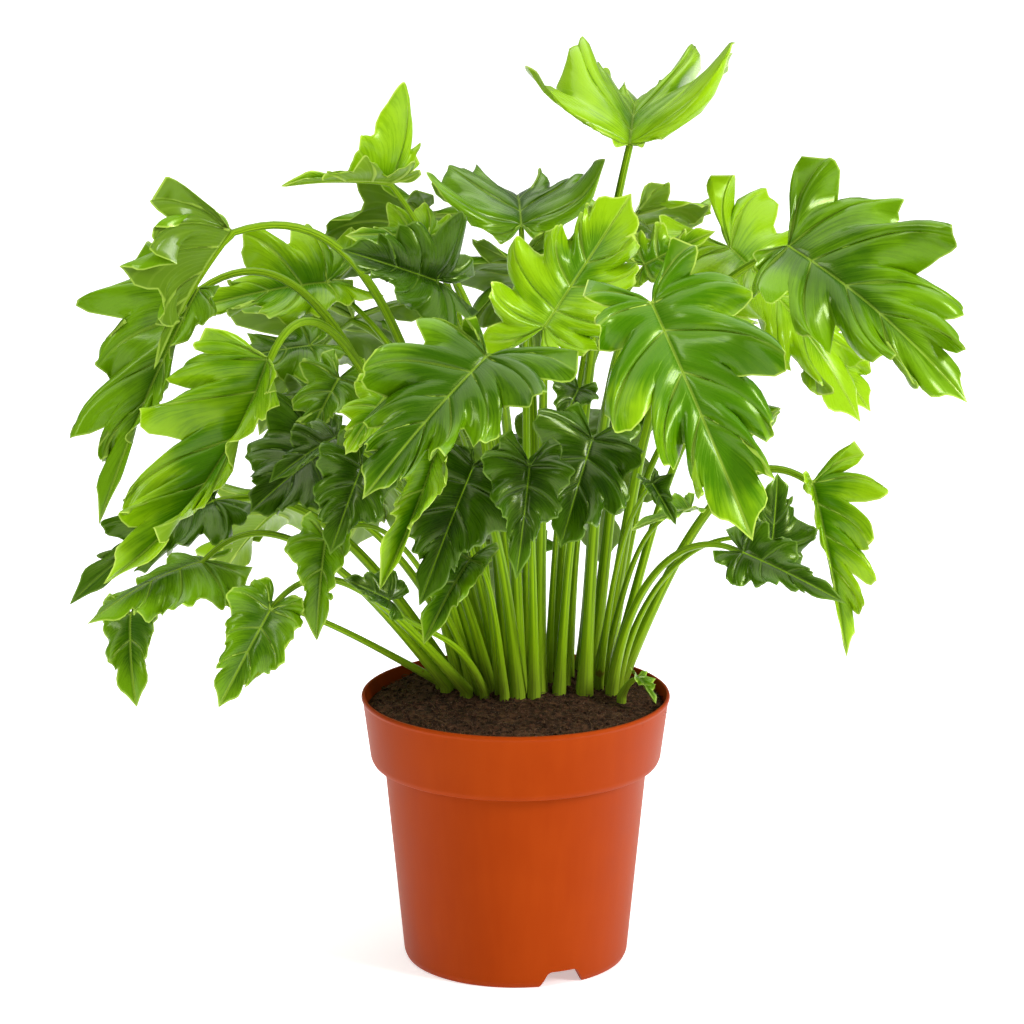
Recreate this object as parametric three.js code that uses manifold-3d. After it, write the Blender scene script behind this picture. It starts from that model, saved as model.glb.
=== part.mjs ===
// Little hope philodendron in a plastic nursery pot
// Millimetres, +Z up, the pot axis on Z and its foot on Z = 0.
import * as THREE from "three";
import { mergeVertices } from "three/addons/utils/BufferGeometryUtils.js";
import Module from "manifold-3d";

const wasm = await Module();
wasm.setup();

// Pot, moulded in one piece
const RIM_RADIUS = 85;
const POT_HEIGHT = 150;
const WALL = 1.5;
const COLLAR_FOOT_RADIUS = 80;
const COLLAR_FOOT_Z = 112;
const BODY_TOP_RADIUS = 72.5;
const BODY_FOOT_RADIUS = 62;
const FOOT_RADIUS = 60.5;
const FOOT_EDGE = 3;
const FOOT_RING_WIDTH = 2.6;
const FLOOR_UNDERSIDE_Z = 9;
const FLOOR_TOP_Z = 10.8;
const COLLAR_STEP = 3;
const LIP_ROUND = 0.5;
const POT_SIDES = 44;

// Notches under the foot ring, and drain holes in the floor
const NOTCH_COUNT = 3;
const NOTCH_FIRST_DEG = -65.4;
const NOTCH_FOOT_WIDTH = 27;
const NOTCH_TOP_WIDTH = 17;
const NOTCH_HEIGHT = 8.6;
const NOTCH_INNER_RADIUS = 51.5;
const NOTCH_DEPTH = 14;
const DRAIN_COUNT = 6;
const DRAIN_RADIUS = 4;
const DRAIN_CIRCLE_RADIUS = 42;
const DRAIN_SIDES = 6;
const DRILL_LENGTH = 8;

// Soil, a plug of peat with an uneven top
const GAP = 0.3;
const SOIL_TOP_Z = 146.2;
const SOIL_TILT_X = 1.2;
const SOIL_TILT_Y = 0.7;
const SOIL_SIDE_DROP = 2.6;
const SOIL_HEAP = 4;
const SOIL_SHOULDER = 4;
const SOIL_FLAT_RADIUS = 60;
const SOIL_SIDES = 26;
const HOLE_DEPTH = 18;
const HOLE_CLEARANCE = 0.55;

// Blade outline and waves, as shares of the blade length
const BLADE_THICKNESS = 0.7;
const EAR_OPENING_DEG = 12;
const EAR_ROUNDNESS = 0.7;
const SINUS_PLACE = 0.45;
const SINUS_WIDTH = 0.18;
const TIP_SINUS = 0.3;
const DRIP = 0.09;
const DRIP_START = 0.84;
const FORWARD_HOOK_DEG = 16;
const LOBE_JITTER = 0.16;
const ANGLE_JITTER_DEG = 8;
const RIPPLE = 0.2;
const RIPPLE_SPREAD = 0.1;
const EAR_BEND = 0.4;

// Stalks, round in life, with a flat seat under the blade
const STEM_SIDES = 5;
const STEM_RISE_ABOVE_SOIL = 3;
const STEM_LEAN = 0.5;
const STEM_LEAST_RISE = 0.3;
const STEM_FOOT_PULL = 0.42;
const STEM_NECK_PULL = 0.34;
const STEM_TAPER = 0.8;
const STEM_SEAT = 0.85;
const RIB_LENGTH = 0.1;
const RIB_SEAT = 0.47;
const RIB_TAPER = 0.55;
const HOLE_OVERRUN = 6;

// Colours
const LIME = 0x7fb024;
const GREEN = 0x478518;
const DARK = 0x2a5814;
const POT_COLOUR = 0xbe4a1c;
const SOIL_COLOUR = 0x2e1e14;

// Leaf forms: angle of each side vein to the midrib, where it leaves the midrib, and its reach
// as a share of the blade length. The last entry is the end lobe.
const FORMS = {
  full: {
    veins: [150, 110, 78, 58, 42, 0],
    roots: [0, 0, 0.12, 0.30, 0.48, 0.62],
    reach: [0.30, 0.38, 0.41, 0.37, 0.27],
    sinus: 0.34,
    columns: [0, 0.2, 0.45, 0.76],
    stem: [3.7, 2.0],
  },
  cut: {
    veins: [150, 110, 78, 58, 42, 0],
    roots: [0, 0, 0.12, 0.30, 0.48, 0.62],
    reach: [0.36, 0.50, 0.56, 0.52, 0.38],
    sinus: 0.52,
    columns: [0, 0.2, 0.45, 0.76],
    stem: [3.7, 2.0],
  },
  half: {
    veins: [146, 98, 66, 44, 0],
    roots: [0, 0, 0.18, 0.42, 0.60],
    reach: [0.32, 0.41, 0.40, 0.28],
    sinus: 0.3,
    columns: [0.1, 0.45, 0.8],
    stem: [2.9, 1.5],
  },
  young: {
    veins: [140, 84, 50, 0],
    roots: [0, 0, 0.28, 0.56],
    reach: [0.28, 0.36, 0.26],
    sinus: 0.20,
    columns: [0.1, 0.45, 0.8],
    stem: [2.1, 1.1],
  },
};

// Every leaf: where the stalk meets the blade, where the blade ends, the way its upper side looks
// and where its stalk stands in the soil. Rise is the slope of the stalk as it reaches the blade.
// A spread below 1 draws the side veins closer to the midrib.
const LEAVES = [
  // Crown
  { name: "crown_right", form: "cut", colour: LIME, neck: [61, 10, 453], tip: [68, 100, 462],
    face: [0.05, -0.25, 1], foot: [28, 34], rise: 75, arch: 50, fold: 32, seed: 1, spread: 0.84,
    left: [0.12, 0.66, 0.6, 0.4, 0.24], right: [0.12, 0.68, 0.76, 0.74, 0.5], sinus: [0.15, 0.4] },
  { name: "crown_left", form: "half", colour: LIME, neck: [-66, -20, 437], tip: [-123, -50, 440],
    face: [0, -0.5, 0.9], foot: [-4, 23], rise: 50, arch: 15, fold: 62, seed: 2,
    left: [0.2, 0.36, 0.4, 0.26], right: [0.25, 0.85, 0.24, 0.18] },
  { name: "top_middle", form: "half", colour: GREEN, neck: [3, 10, 409], tip: [0, 72, 412],
    face: [0, -0.4, 0.9], foot: [6, 32], rise: 70, arch: 60, fold: 20, seed: 15,
    left: [0.3, 1.0, 0.95, 0.5], right: [0.25, 0.75, 0.8, 0.4], sinus: [0.12, 0.2] },
  { name: "top_back_left", form: "half", colour: LIME, neck: [-48, 55, 394], tip: [-94, 60, 394],
    face: [-0.1, -0.7, 0.6], foot: [-4, 44], rise: 50, arch: 20, fold: 10, seed: 19 },
  { name: "top_back_right", form: "half", colour: LIME, neck: [70, 16, 386], tip: [108, 18, 404],
    face: [0.1, -0.7, 0.7], foot: [20, 44], rise: 50, arch: 10, fold: 20, seed: 23, width: 1.1 },

  // Left side, high to low
  { name: "left_high", form: "full", colour: GREEN, neck: [-151, -25, 412], tip: [-192, -40, 340],
    face: [-0.84, 0.1, 0.54], foot: [-14, 27], rise: -15, arch: 15, fold: 55, seed: 3, spread: 0.62,
    left: [0.42, 0.56, 0.52, 0.42, 0.3], right: [0.2, 0.3, 0.3, 0.25, 0.2], sinus: [0.18, 0.3] },
  { name: "left_large", form: "full", colour: GREEN, neck: [-172, 20, 372], tip: [-227, 0, 245],
    face: [-0.5, -0.75, 0.4], foot: [-22, 35], rise: -35, arch: 15, fold: 20, seed: 4, spread: 0.7,
    left: [0.15, 0.18, 0.18, 0.18, 0.16], right: [0.3, 0.4, 0.43, 0.43, 0.34] },
  { name: "left_bright", form: "full", colour: LIME, neck: [-129, -80, 354], tip: [-213, -125, 245],
    face: [-0.54, -0.77, 0.32], foot: [-18, 14], rise: -60, arch: -62, fold: 38, seed: 5,
    spread: 0.68, left: [0.2, 0.25, 0.25, 0.28, 0.3], right: [0.2, 0.38, 0.44, 0.46, 0.36],
    sinus: [0.2, 0.4] },
  { name: "left_behind", form: "half", colour: LIME, neck: [-105, 80, 364], tip: [-180, 60, 352],
    face: [-0.2, -0.7, 0.65], foot: [-14, 43], rise: 30, arch: 20, fold: 20, seed: 16, width: 1.2 },
  { name: "left_behind_low", form: "half", colour: GREEN, neck: [-113, 42, 336], tip: [-181, 24, 322],
    face: [-0.2, -0.5, 0.8], foot: [-26, 41], rise: 0, arch: 20, fold: 0, seed: 17, width: 0.9 },
  { name: "left_shade", form: "half", colour: DARK, neck: [-42, -50, 390], tip: [-91, -75, 411],
    face: [-0.1, -0.85, 0.5], foot: [2, 13], rise: 50, arch: 10, fold: 25, seed: 18, width: 1.3 },
  { name: "left_front_bright", form: "half", colour: LIME, neck: [-68, -95, 337],
    tip: [-88, -110, 310], face: [-0.3, -0.8, 0.4], foot: [-9, 13], rise: 30, arch: 20, fold: 10,
    seed: 31, width: 1.4 },
  { name: "left_inner", form: "half", colour: GREEN, neck: [-95, -17, 330], tip: [-114, -35, 295],
    face: [-0.4, -0.8, 0.3], foot: [-22, 19], rise: 10, arch: 10, fold: 10, seed: 35, width: 1.3 },
  { name: "left_inner_back", form: "half", colour: DARK, neck: [-103, 16, 316], tip: [-145, 6, 312],
    face: [-0.3, 0.6, 0.8], foot: [-29, 27], rise: 10, arch: 10, fold: -10, seed: 36, width: 1.2 },
  { name: "left_round", form: "half", colour: DARK, neck: [-102, -30, 294], tip: [-141, -60, 267],
    face: [-0.3, -0.85, 0.4], foot: [-31, 16], rise: 0, arch: 20, fold: 0, seed: 32, width: 1.6,
    sinus: [0.18, 0.18] },
  { name: "left_pointed", form: "half", colour: DARK, neck: [-95, -70, 310], tip: [-129, -90, 290],
    face: [-0.2, -0.6, 0.8], foot: [-24, 8], rise: 20, arch: 20, fold: 10, seed: 33, width: 0.9 },
  { name: "left_front_dark", form: "half", colour: DARK, neck: [-80, -105, 302],
    tip: [-96, -120, 259], face: [-0.1, -0.9, 0.4], foot: [-14, 6], rise: 20, arch: 20, fold: 10,
    seed: 12, width: 1.3, sinus: [0.2, 0.2] },
  { name: "left_low_dark", form: "full", colour: DARK, neck: [-163, -22, 264], tip: [-241, -30, 208],
    face: [-0.4, -0.7, 0.5], foot: [-36, 25], rise: -10, arch: 35, fold: 10, seed: 6, spread: 0.8,
    width: 0.85 },
  { name: "left_low", form: "half", colour: GREEN, neck: [-165, -86, 247], tip: [-223, -116, 221],
    face: [-0.2, -0.35, 0.9], foot: [-38, 9], rise: -40, arch: 30, fold: -30, seed: 7, width: 1.1 },
  { name: "left_low_heart", form: "young", colour: GREEN, neck: [-206, -52, 209],
    tip: [-202, -72, 163], face: [-0.3, -0.9, 0.2], foot: [-42, 17], rise: -20, arch: 30, fold: 10,
    seed: 8, left: [0.3, 0.38, 0.36], right: [0.3, 0.38, 0.36], sinus: [0.06, 0.06] },
  { name: "low_left", form: "half", colour: GREEN, neck: [-128, -110, 227], tip: [-155, -120, 177],
    face: [0, -0.9, 0.3], foot: [-27, -3], rise: -40, arch: 20, fold: 8, seed: 9,
    left: [0.28, 0.34, 0.38, 0.34], right: [0.28, 0.36, 0.36, 0.34], sinus: [0.12, 0.12] },
  { name: "low_left_narrow", form: "young", colour: GREEN, neck: [-99, -100, 262],
    tip: [-104, -105, 209], face: [-0.3, -0.9, 0.3], foot: [-20, 1], rise: -20, arch: 20,
    fold: 25, seed: 10, width: 1.1, sinus: [0.14, 0.14] },
  { name: "low_left_dark", form: "young", colour: DARK, neck: [-66, -122, 236],
    tip: [-89, -130, 249], face: [0, -0.6, 0.8], foot: [-17, -8], rise: 40, arch: 10, fold: 15,
    seed: 11, width: 1.6, sinus: [0.08, 0.08] },

  // Middle
  { name: "middle_large", form: "full", colour: GREEN, neck: [-15, -140, 368], tip: [-77, -178, 303],
    face: [-0.1, -0.8, 0.55], foot: [2, 2], rise: 5, arch: 22, fold: 5, seed: 13,
    spread: 0.86, lean: 0.3,
    left: [0.44, 0.48, 0.5, 0.46, 0.34], right: [0.2, 0.46, 0.53, 0.48, 0.35] },
  { name: "middle_bright", form: "full", colour: LIME, neck: [15, -58, 367], tip: [61, -30, 433],
    face: [0, -0.95, 0.3], foot: [13, 3], rise: 80, arch: -10, fold: 8, seed: 14,
    left: [0.37, 0.47, 0.51, 0.46, 0.34], right: [0.2, 0.34, 0.5, 0.46, 0.34] },
  { name: "front_dark_left", form: "full", colour: DARK, neck: [-22, -103, 302],
    tip: [-50, -124, 233], face: [-0.2, -0.92, 0.35], foot: [1, -7], rise: 40, arch: 15, fold: 6,
    seed: 27, left: [0.3, 0.4, 0.43, 0.39, 0.28], right: [0.12, 0.36, 0.43, 0.39, 0.28],
    sinus: [0.2, 0.2] },
  { name: "front_dark_middle", form: "half", colour: DARK, neck: [7, -127, 308],
    tip: [0, -147, 253], face: [0.1, -0.95, 0.2], foot: [10, -7], rise: 40, arch: 20, fold: 10,
    seed: 28, width: 1.05, sinus: [0.2, 0.2] },
  { name: "front_dark_right", form: "half", colour: DARK, neck: [40, -80, 311],
    tip: [23, -105, 259], face: [0, -0.85, 0.5], foot: [24, 0], rise: 40, arch: 25, fold: 10,
    seed: 29, width: 1.35, sinus: [0.22, 0.22] },
  { name: "front_strip", form: "young", colour: LIME, neck: [-40, -132, 318], tip: [-70, -138, 245],
    face: [-0.4, -0.85, 0.3], foot: [-9, -1], rise: -30, arch: -20, fold: 50, seed: 34 },
  { name: "front_small", form: "young", colour: GREEN, neck: [-24, -95, 250], tip: [-48, -116, 210],
    face: [-0.3, -0.8, 0.5], foot: [-6, -12], rise: 10, arch: 25, fold: 25, seed: 30, width: 1.2 },
  { name: "inner_small", form: "young", colour: DARK, neck: [33, -40, 329], tip: [24, -56, 312],
    face: [0, -0.7, 0.7], foot: [18, 23], rise: 50, arch: 20, fold: 10, seed: 41, width: 1.6 },

  // Right side, high to low
  { name: "right_large", form: "cut", colour: GREEN, neck: [146, -5, 400], tip: [240, -40, 322],
    face: [0.2, -0.8, 0.5], foot: [47, 31], rise: 20, arch: 40, fold: 5, seed: 21, spread: 0.8,
    left: [0.38, 0.5, 0.58, 0.52, 0.38], right: [0.15, 0.36, 0.44, 0.44, 0.34],
    sinus: [0.32, 0.42] },
  { name: "right_middle_large", form: "full", colour: LIME, neck: [69, -128, 393],
    tip: [119, -176, 281], face: [0, -0.9, 0.42], foot: [38, 1], rise: 10, arch: 25, fold: 5,
    seed: 20, spread: 0.9, lean: 0.3, sinus: [0.4, 0.46],
    left: [0.25, 0.35, 0.44, 0.43, 0.32], right: [0.29, 0.22, 0.46, 0.44, 0.34] },
  { name: "right_behind", form: "full", colour: LIME, neck: [118, 60, 387], tip: [191, 50, 291],
    face: [0.3, -0.6, 0.75], foot: [42, 42], rise: 30, arch: 30, fold: 5, seed: 22, width: 1.1 },
  { name: "right_far", form: "half", colour: LIME, neck: [159, 85, 336], tip: [200, 90, 288],
    face: [0.3, -0.6, 0.7], foot: [55, 43], rise: 10, arch: 20, fold: 5, seed: 46, width: 1.2 },
  { name: "right_hanging", form: "cut", colour: LIME, neck: [159, -30, 276], tip: [178, -45, 183],
    face: [0.45, -0.8, 0.3], foot: [58, 23], rise: -30, arch: 10, fold: 40, seed: 24, spread: 0.75,
    left: [0.3, 0.42, 0.42, 0.4, 0.32], right: [0.15, 0.16, 0.16, 0.15, 0.14] },
  { name: "right_inner_strip", form: "young", colour: LIME, neck: [56, -42, 302],
    tip: [48, -54, 275], face: [0.5, -0.5, 0.3], foot: [28, 16], rise: 10, arch: 10, fold: 60,
    seed: 42, width: 0.6 },
  { name: "right_inner_dark", form: "young", colour: DARK, neck: [72, -70, 285],
    tip: [84, -84, 266], face: [0.2, -0.7, 0.6], foot: [46, 12], rise: 30, arch: 10, fold: 30,
    seed: 43, width: 1.2 },
  { name: "right_inner_pale", form: "young", colour: GREEN, neck: [93, -40, 264],
    tip: [61, -60, 257], face: [0, -0.3, 0.9], foot: [48, 21], rise: 10, arch: 10, fold: 20,
    seed: 44, width: 0.9 },
  { name: "right_low_dark", form: "half", colour: DARK, neck: [118, -110, 258],
    tip: [170, -130, 236], face: [0.1, -0.8, 0.6], foot: [53, 4], rise: -5, arch: 15, fold: 0,
    seed: 25, width: 0.85, lean: 0.2 },
  { name: "right_low_back", form: "young", colour: DARK, neck: [136, -60, 249], tip: [139, -50, 286],
    face: [0.3, -0.9, 0.2], foot: [57, 14], rise: -10, arch: 10, fold: 10, seed: 26, width: 1.6,
    sinus: [0.1, 0.1], lean: 0.2 },
  { name: "right_soil", form: "young", colour: GREEN, neck: [67, -15, 163], tip: [76, -35, 154],
    face: [0.5, -0.3, 0.6], foot: [58, -10], rise: 20, arch: 10, fold: 20, seed: 37, width: 1.1 },

  // Back, not in the picture
  { name: "back_right", form: "full", colour: LIME, neck: [78, 112, 340], tip: [124, 180, 246],
    face: [0.25, 0.8, 0.5], foot: [38, 55], rise: 10, arch: 30, fold: 8, seed: 51, width: 1.1 },
  { name: "back_left", form: "cut", colour: GREEN, neck: [-92, 118, 336], tip: [-150, 178, 254],
    face: [-0.3, 0.8, 0.55], foot: [-17, 57], rise: 10, arch: 30, fold: 8, seed: 52 },
  { name: "back_middle", form: "cut", colour: GREEN, neck: [2, 122, 366], tip: [14, 190, 285],
    face: [0, 0.8, 0.6], foot: [12, 57], rise: 30, arch: 30, fold: 8, seed: 53, width: 0.85 },
  { name: "back_low_left", form: "full", colour: GREEN, neck: [-60, 110, 262],
    tip: [-104, 180, 178], face: [-0.2, 0.9, 0.4], foot: [-8, 64], rise: 0, arch: 25, fold: 5,
    seed: 54, width: 1.1 },
  { name: "back_low_middle", form: "half", colour: DARK, neck: [32, 128, 262], tip: [52, 184, 172],
    face: [0.1, 0.9, 0.4], foot: [22, 65], rise: 0, arch: 25, fold: 5, seed: 55, width: 1.1 },
  { name: "back_low_right", form: "half", colour: GREEN, neck: [108, 100, 292], tip: [132, 168, 228],
    face: [0.4, 0.8, 0.4], foot: [52, 53], rise: 10, arch: 25, fold: 8, seed: 56, width: 1.1 },
  { name: "back_small_left", form: "half", colour: LIME, neck: [-128, 84, 238],
    tip: [-178, 132, 168], face: [-0.5, 0.7, 0.5], foot: [-27, 60], rise: -10, arch: 25, fold: 10,
    seed: 57, width: 1.1 },
  { name: "back_small_middle", form: "young", colour: DARK, neck: [-8, 118, 205],
    tip: [-16, 158, 140], face: [-0.1, 0.9, 0.3], foot: [6, 70], rise: 0, arch: 20, fold: 10,
    seed: 58, width: 1.3 },
  { name: "back_top_right", form: "half", colour: LIME, neck: [66, 88, 400], tip: [100, 148, 350],
    face: [0.2, 0.7, 0.7], foot: [26, 53], rise: 50, arch: 25, fold: 10, seed: 59, width: 1.15 },
  { name: "back_top_left", form: "half", colour: GREEN, neck: [-52, 90, 400], tip: [-104, 136, 352],
    face: [-0.2, 0.7, 0.7], foot: [-4, 54], rise: 50, arch: 25, fold: 10, seed: 60, width: 1.3 },
];

const group = new THREE.Group();
group.name = "potted_philodendron";

function asSolid(geometry) {
  const bare = new THREE.BufferGeometry();
  bare.setAttribute("position", geometry.getAttribute("position").clone());
  if (geometry.index) {
    bare.setIndex(geometry.index.clone());
  }
  const welded = mergeVertices(bare, 1e-4);
  return new wasm.Manifold(new wasm.Mesh({
    numProp: 3,
    vertProperties: Float32Array.from(welded.getAttribute("position").array),
    triVerts: Uint32Array.from(welded.index.array),
  }));
}

function asGeometry(solid) {
  const mesh = solid.getMesh();
  const geometry = new THREE.BufferGeometry();
  geometry.setAttribute("position", new THREE.BufferAttribute(mesh.vertProperties, 3));
  geometry.setIndex(new THREE.BufferAttribute(mesh.triVerts, 1));
  return geometry;
}

function addMesh(name, solid, colour, roughness) {
  const flat = asGeometry(solid).toNonIndexed();
  flat.computeVertexNormals();
  const material = new THREE.MeshStandardMaterial({ color: colour, roughness, metalness: 0 });
  const mesh = new THREE.Mesh(flat, material);
  mesh.name = name;
  group.add(mesh);
}

function lathe(points, sides) {
  const geometry = new THREE.LatheGeometry(points.map(([r, z]) => new THREE.Vector2(r, z)), sides);
  geometry.rotateX(Math.PI / 2);
  return geometry;
}

// Pot: tapered body, a wider collar above a step, a hollow foot
function collarRadius(z) {
  const foot = COLLAR_FOOT_RADIUS - LIP_ROUND;
  const top = RIM_RADIUS - LIP_ROUND;
  return THREE.MathUtils.mapLinear(z, COLLAR_FOOT_Z, POT_HEIGHT, foot, top);
}

function potProfile() {
  const stepTop = COLLAR_FOOT_Z + COLLAR_STEP;
  return [
    [0, FLOOR_UNDERSIDE_Z],
    [FOOT_RADIUS - FOOT_RING_WIDTH - WALL, FLOOR_UNDERSIDE_Z],
    [FOOT_RADIUS - FOOT_RING_WIDTH, 0],
    [FOOT_RADIUS, 0],
    [BODY_FOOT_RADIUS, FOOT_EDGE],
    [BODY_TOP_RADIUS, COLLAR_FOOT_Z],
    [COLLAR_FOOT_RADIUS - WALL, COLLAR_FOOT_Z + 0.2 * WALL],
    [collarRadius(stepTop), stepTop],
    [collarRadius(POT_HEIGHT - 2 * WALL), POT_HEIGHT - 2 * WALL],
    [RIM_RADIUS, POT_HEIGHT - WALL],
    [RIM_RADIUS - LIP_ROUND, POT_HEIGHT],
    [RIM_RADIUS - LIP_ROUND - WALL, POT_HEIGHT],
    [collarRadius(stepTop) - WALL, stepTop],
    [BODY_TOP_RADIUS - WALL, COLLAR_FOOT_Z + WALL],
    [BODY_FOOT_RADIUS - WALL, FLOOR_TOP_Z],
    [0, FLOOR_TOP_Z],
  ];
}

function footNotch(number) {
  const outline = new THREE.Shape();
  outline.moveTo(-NOTCH_FOOT_WIDTH / 2, -1);
  outline.lineTo(NOTCH_FOOT_WIDTH / 2, -1);
  outline.lineTo(NOTCH_TOP_WIDTH / 2, NOTCH_HEIGHT);
  outline.lineTo(-NOTCH_TOP_WIDTH / 2, NOTCH_HEIGHT);
  outline.closePath();
  const notch = new THREE.ExtrudeGeometry(outline, { depth: NOTCH_DEPTH, bevelEnabled: false });
  notch.translate(0, 0, NOTCH_INNER_RADIUS);
  notch.rotateX(Math.PI / 2);
  const turn = NOTCH_FIRST_DEG + 90 + number * 360 / NOTCH_COUNT;
  notch.rotateZ(THREE.MathUtils.degToRad(turn));
  return asSolid(notch);
}

function drainHole(number) {
  const turn = number * 2 * Math.PI / DRAIN_COUNT;
  const drill = new THREE.CylinderGeometry(DRAIN_RADIUS, DRAIN_RADIUS, DRILL_LENGTH, DRAIN_SIDES);
  drill.rotateX(Math.PI / 2);
  drill.translate(
    DRAIN_CIRCLE_RADIUS * Math.cos(turn),
    DRAIN_CIRCLE_RADIUS * Math.sin(turn),
    FLOOR_UNDERSIDE_Z,
  );
  return asSolid(drill);
}

function potSolid() {
  let pot = asSolid(lathe(potProfile(), POT_SIDES));
  for (let i = 0; i < NOTCH_COUNT; i += 1) {
    pot = pot.subtract(footNotch(i));
  }
  for (let i = 0; i < DRAIN_COUNT; i += 1) {
    pot = pot.subtract(drainHole(i));
  }
  return pot;
}

// Soil: fills the pot, falls away to the sides and heaps a little round the stalks
function soilHeight(x, y) {
  const u = x / RIM_RADIUS;
  const v = y / RIM_RADIUS;
  const heap = SOIL_HEAP * (1 - u * u - v * v);
  return SOIL_TOP_Z + SOIL_TILT_X * u + SOIL_TILT_Y * v - SOIL_SIDE_DROP * u * u + heap;
}

function soilSolid() {
  const inset = WALL + GAP;
  const stepTop = COLLAR_FOOT_Z + COLLAR_STEP;
  const shoulderZ = SOIL_TOP_Z - SOIL_SHOULDER;
  const edgeRadius = collarRadius(shoulderZ) - inset - GAP;
  const profile = [
    [0, FLOOR_TOP_Z + GAP],
    [BODY_FOOT_RADIUS - inset, FLOOR_TOP_Z + GAP],
    [BODY_TOP_RADIUS - inset, COLLAR_FOOT_Z + WALL + 2 * GAP],
    [collarRadius(stepTop) - inset - GAP, stepTop + 2 * GAP],
    [edgeRadius, shoulderZ],
    [edgeRadius - SOIL_SHOULDER, SOIL_TOP_Z],
    [SOIL_FLAT_RADIUS, SOIL_TOP_Z],
    [0, SOIL_TOP_Z],
  ];
  const geometry = lathe(profile, SOIL_SIDES);
  const points = geometry.getAttribute("position");
  for (let i = 0; i < points.count; i += 1) {
    if (points.getZ(i) > SOIL_TOP_Z - 1) {
      points.setZ(i, soilHeight(points.getX(i), points.getY(i)));
    }
  }
  return asSolid(geometry);
}

function stalkHole(leaf) {
  const radius = FORMS[leaf.form].stem[0] + HOLE_CLEARANCE;
  const height = HOLE_DEPTH + GAP + HOLE_OVERRUN;
  const drill = new THREE.CylinderGeometry(radius, radius, height, STEM_SIDES, 1);
  drill.rotateX(Math.PI / 2);
  drill.rotateZ(Math.PI / 2);
  drill.translate(...leaf.foot, soilHeight(...leaf.foot) + HOLE_OVERRUN - height / 2);
  return asSolid(drill);
}

// Leaf outline, one side: q counts the lobes from the neck to the end lobe
function mixList(values, q) {
  const low = Math.min(Math.max(Math.floor(q), 0), values.length - 2);
  const share = q - low;
  return values[low] * (1 - share) + values[low + 1] * share;
}

function veinAt(q, veins, roots, reach, sinus) {
  if (q < 0) {
    const share = (q + 0.5) / 0.5;
    const angle = veins[0] + EAR_OPENING_DEG * (1 - share);
    return { root: 0, angle, reach: reach[0] * Math.sin(share * Math.PI / 2) ** EAR_ROUNDNESS };
  }
  const last = veins.length - 1;
  const lobe = Math.min(Math.floor(q), last - 1);
  const share = q - lobe;
  const dip = Math.exp(-(((share - SINUS_PLACE) / SINUS_WIDTH) ** 2));
  const root = mixList(roots, q);
  if (lobe === last - 1) {
    const angle = veins[lobe] * Math.cos(Math.PI / 2 * share ** 1.8);
    const drip = DRIP * (Math.max(0, share - DRIP_START) / (1 - DRIP_START)) ** 2;
    const full = THREE.MathUtils.lerp(reach[lobe], reach[last], share ** 3);
    return { root, angle, reach: full * (1 - TIP_SINUS * dip) + drip };
  }
  return { root, angle: mixList(veins, q), reach: mixList(reach, q) * (1 - sinus * dip) };
}

function marginPoint(q, vein, lobes, ripple) {
  const calm = Math.min(1, lobes - q);
  const angle = THREE.MathUtils.degToRad(vein.angle - (q < 0 ? 0 : FORWARD_HOOK_DEG * calm));
  const nearNeck = 0.5 + 0.5 * Math.min(1, q + 0.5);
  const wave = Math.sin(Math.PI * q + ripple.phase) + 0.6 * Math.cos(2 * Math.PI * q);
  return {
    x: vein.reach * Math.sin(angle),
    y: vein.root + vein.reach * Math.cos(angle),
    h: ripple.height * vein.reach * wave * calm * nearNeck,
  };
}

function randomFrom(seed) {
  let state = seed * 7919 % 2147483647;
  return () => {
    state = state * 16807 % 2147483647;
    return state / 2147483647;
  };
}

// Each side of a blade has waves and lobes of its own
function bladeSides(leaf) {
  const form = FORMS[leaf.form];
  const lobes = form.reach.length;
  const random = randomFrom(leaf.seed);
  const phases = [random(), random()].map((value) => value * 2 * Math.PI);
  const heights = [random(), random()].map((value) => RIPPLE * (1 + RIPPLE_SPREAD * (2 * value - 1)));
  return [leaf.left, leaf.right].map((listed, i) => {
    const width = leaf.width ?? 1;
    const reach = (listed ?? form.reach.map((value) => value * width))
      .map((value) => value * (1 + LOBE_JITTER * (2 * random() - 1)));
    reach.push(1 - form.roots[lobes] - DRIP);
    const veins = form.veins.slice(0, lobes)
      .map((value) => value * (leaf.spread ?? 1) + ANGLE_JITTER_DEG * (2 * random() - 1));
    veins.push(0);
    const sinus = leaf.sinus ? leaf.sinus[i] : form.sinus;
    return { sign: i === 0 ? -1 : 1, reach, veins, sinus, phase: phases[i], height: heights[i] };
  });
}

// Leaf bending: sides folded about the midrib, then the midrib bent along its length
function bend(x, y, h, arch, fold) {
  const raised = h + Math.abs(x) * Math.sin(fold);
  const across = x * Math.cos(fold);
  const along = y < 0 ? y * EAR_BEND : y;
  const turn = arch * along;
  const reach = Math.sin(turn) / arch + (y - along) * Math.cos(turn);
  const drop = -(1 - Math.cos(turn)) / arch - (y - along) * Math.sin(turn);
  return [across, reach + raised * Math.sin(turn), drop + raised * Math.cos(turn)];
}

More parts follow.
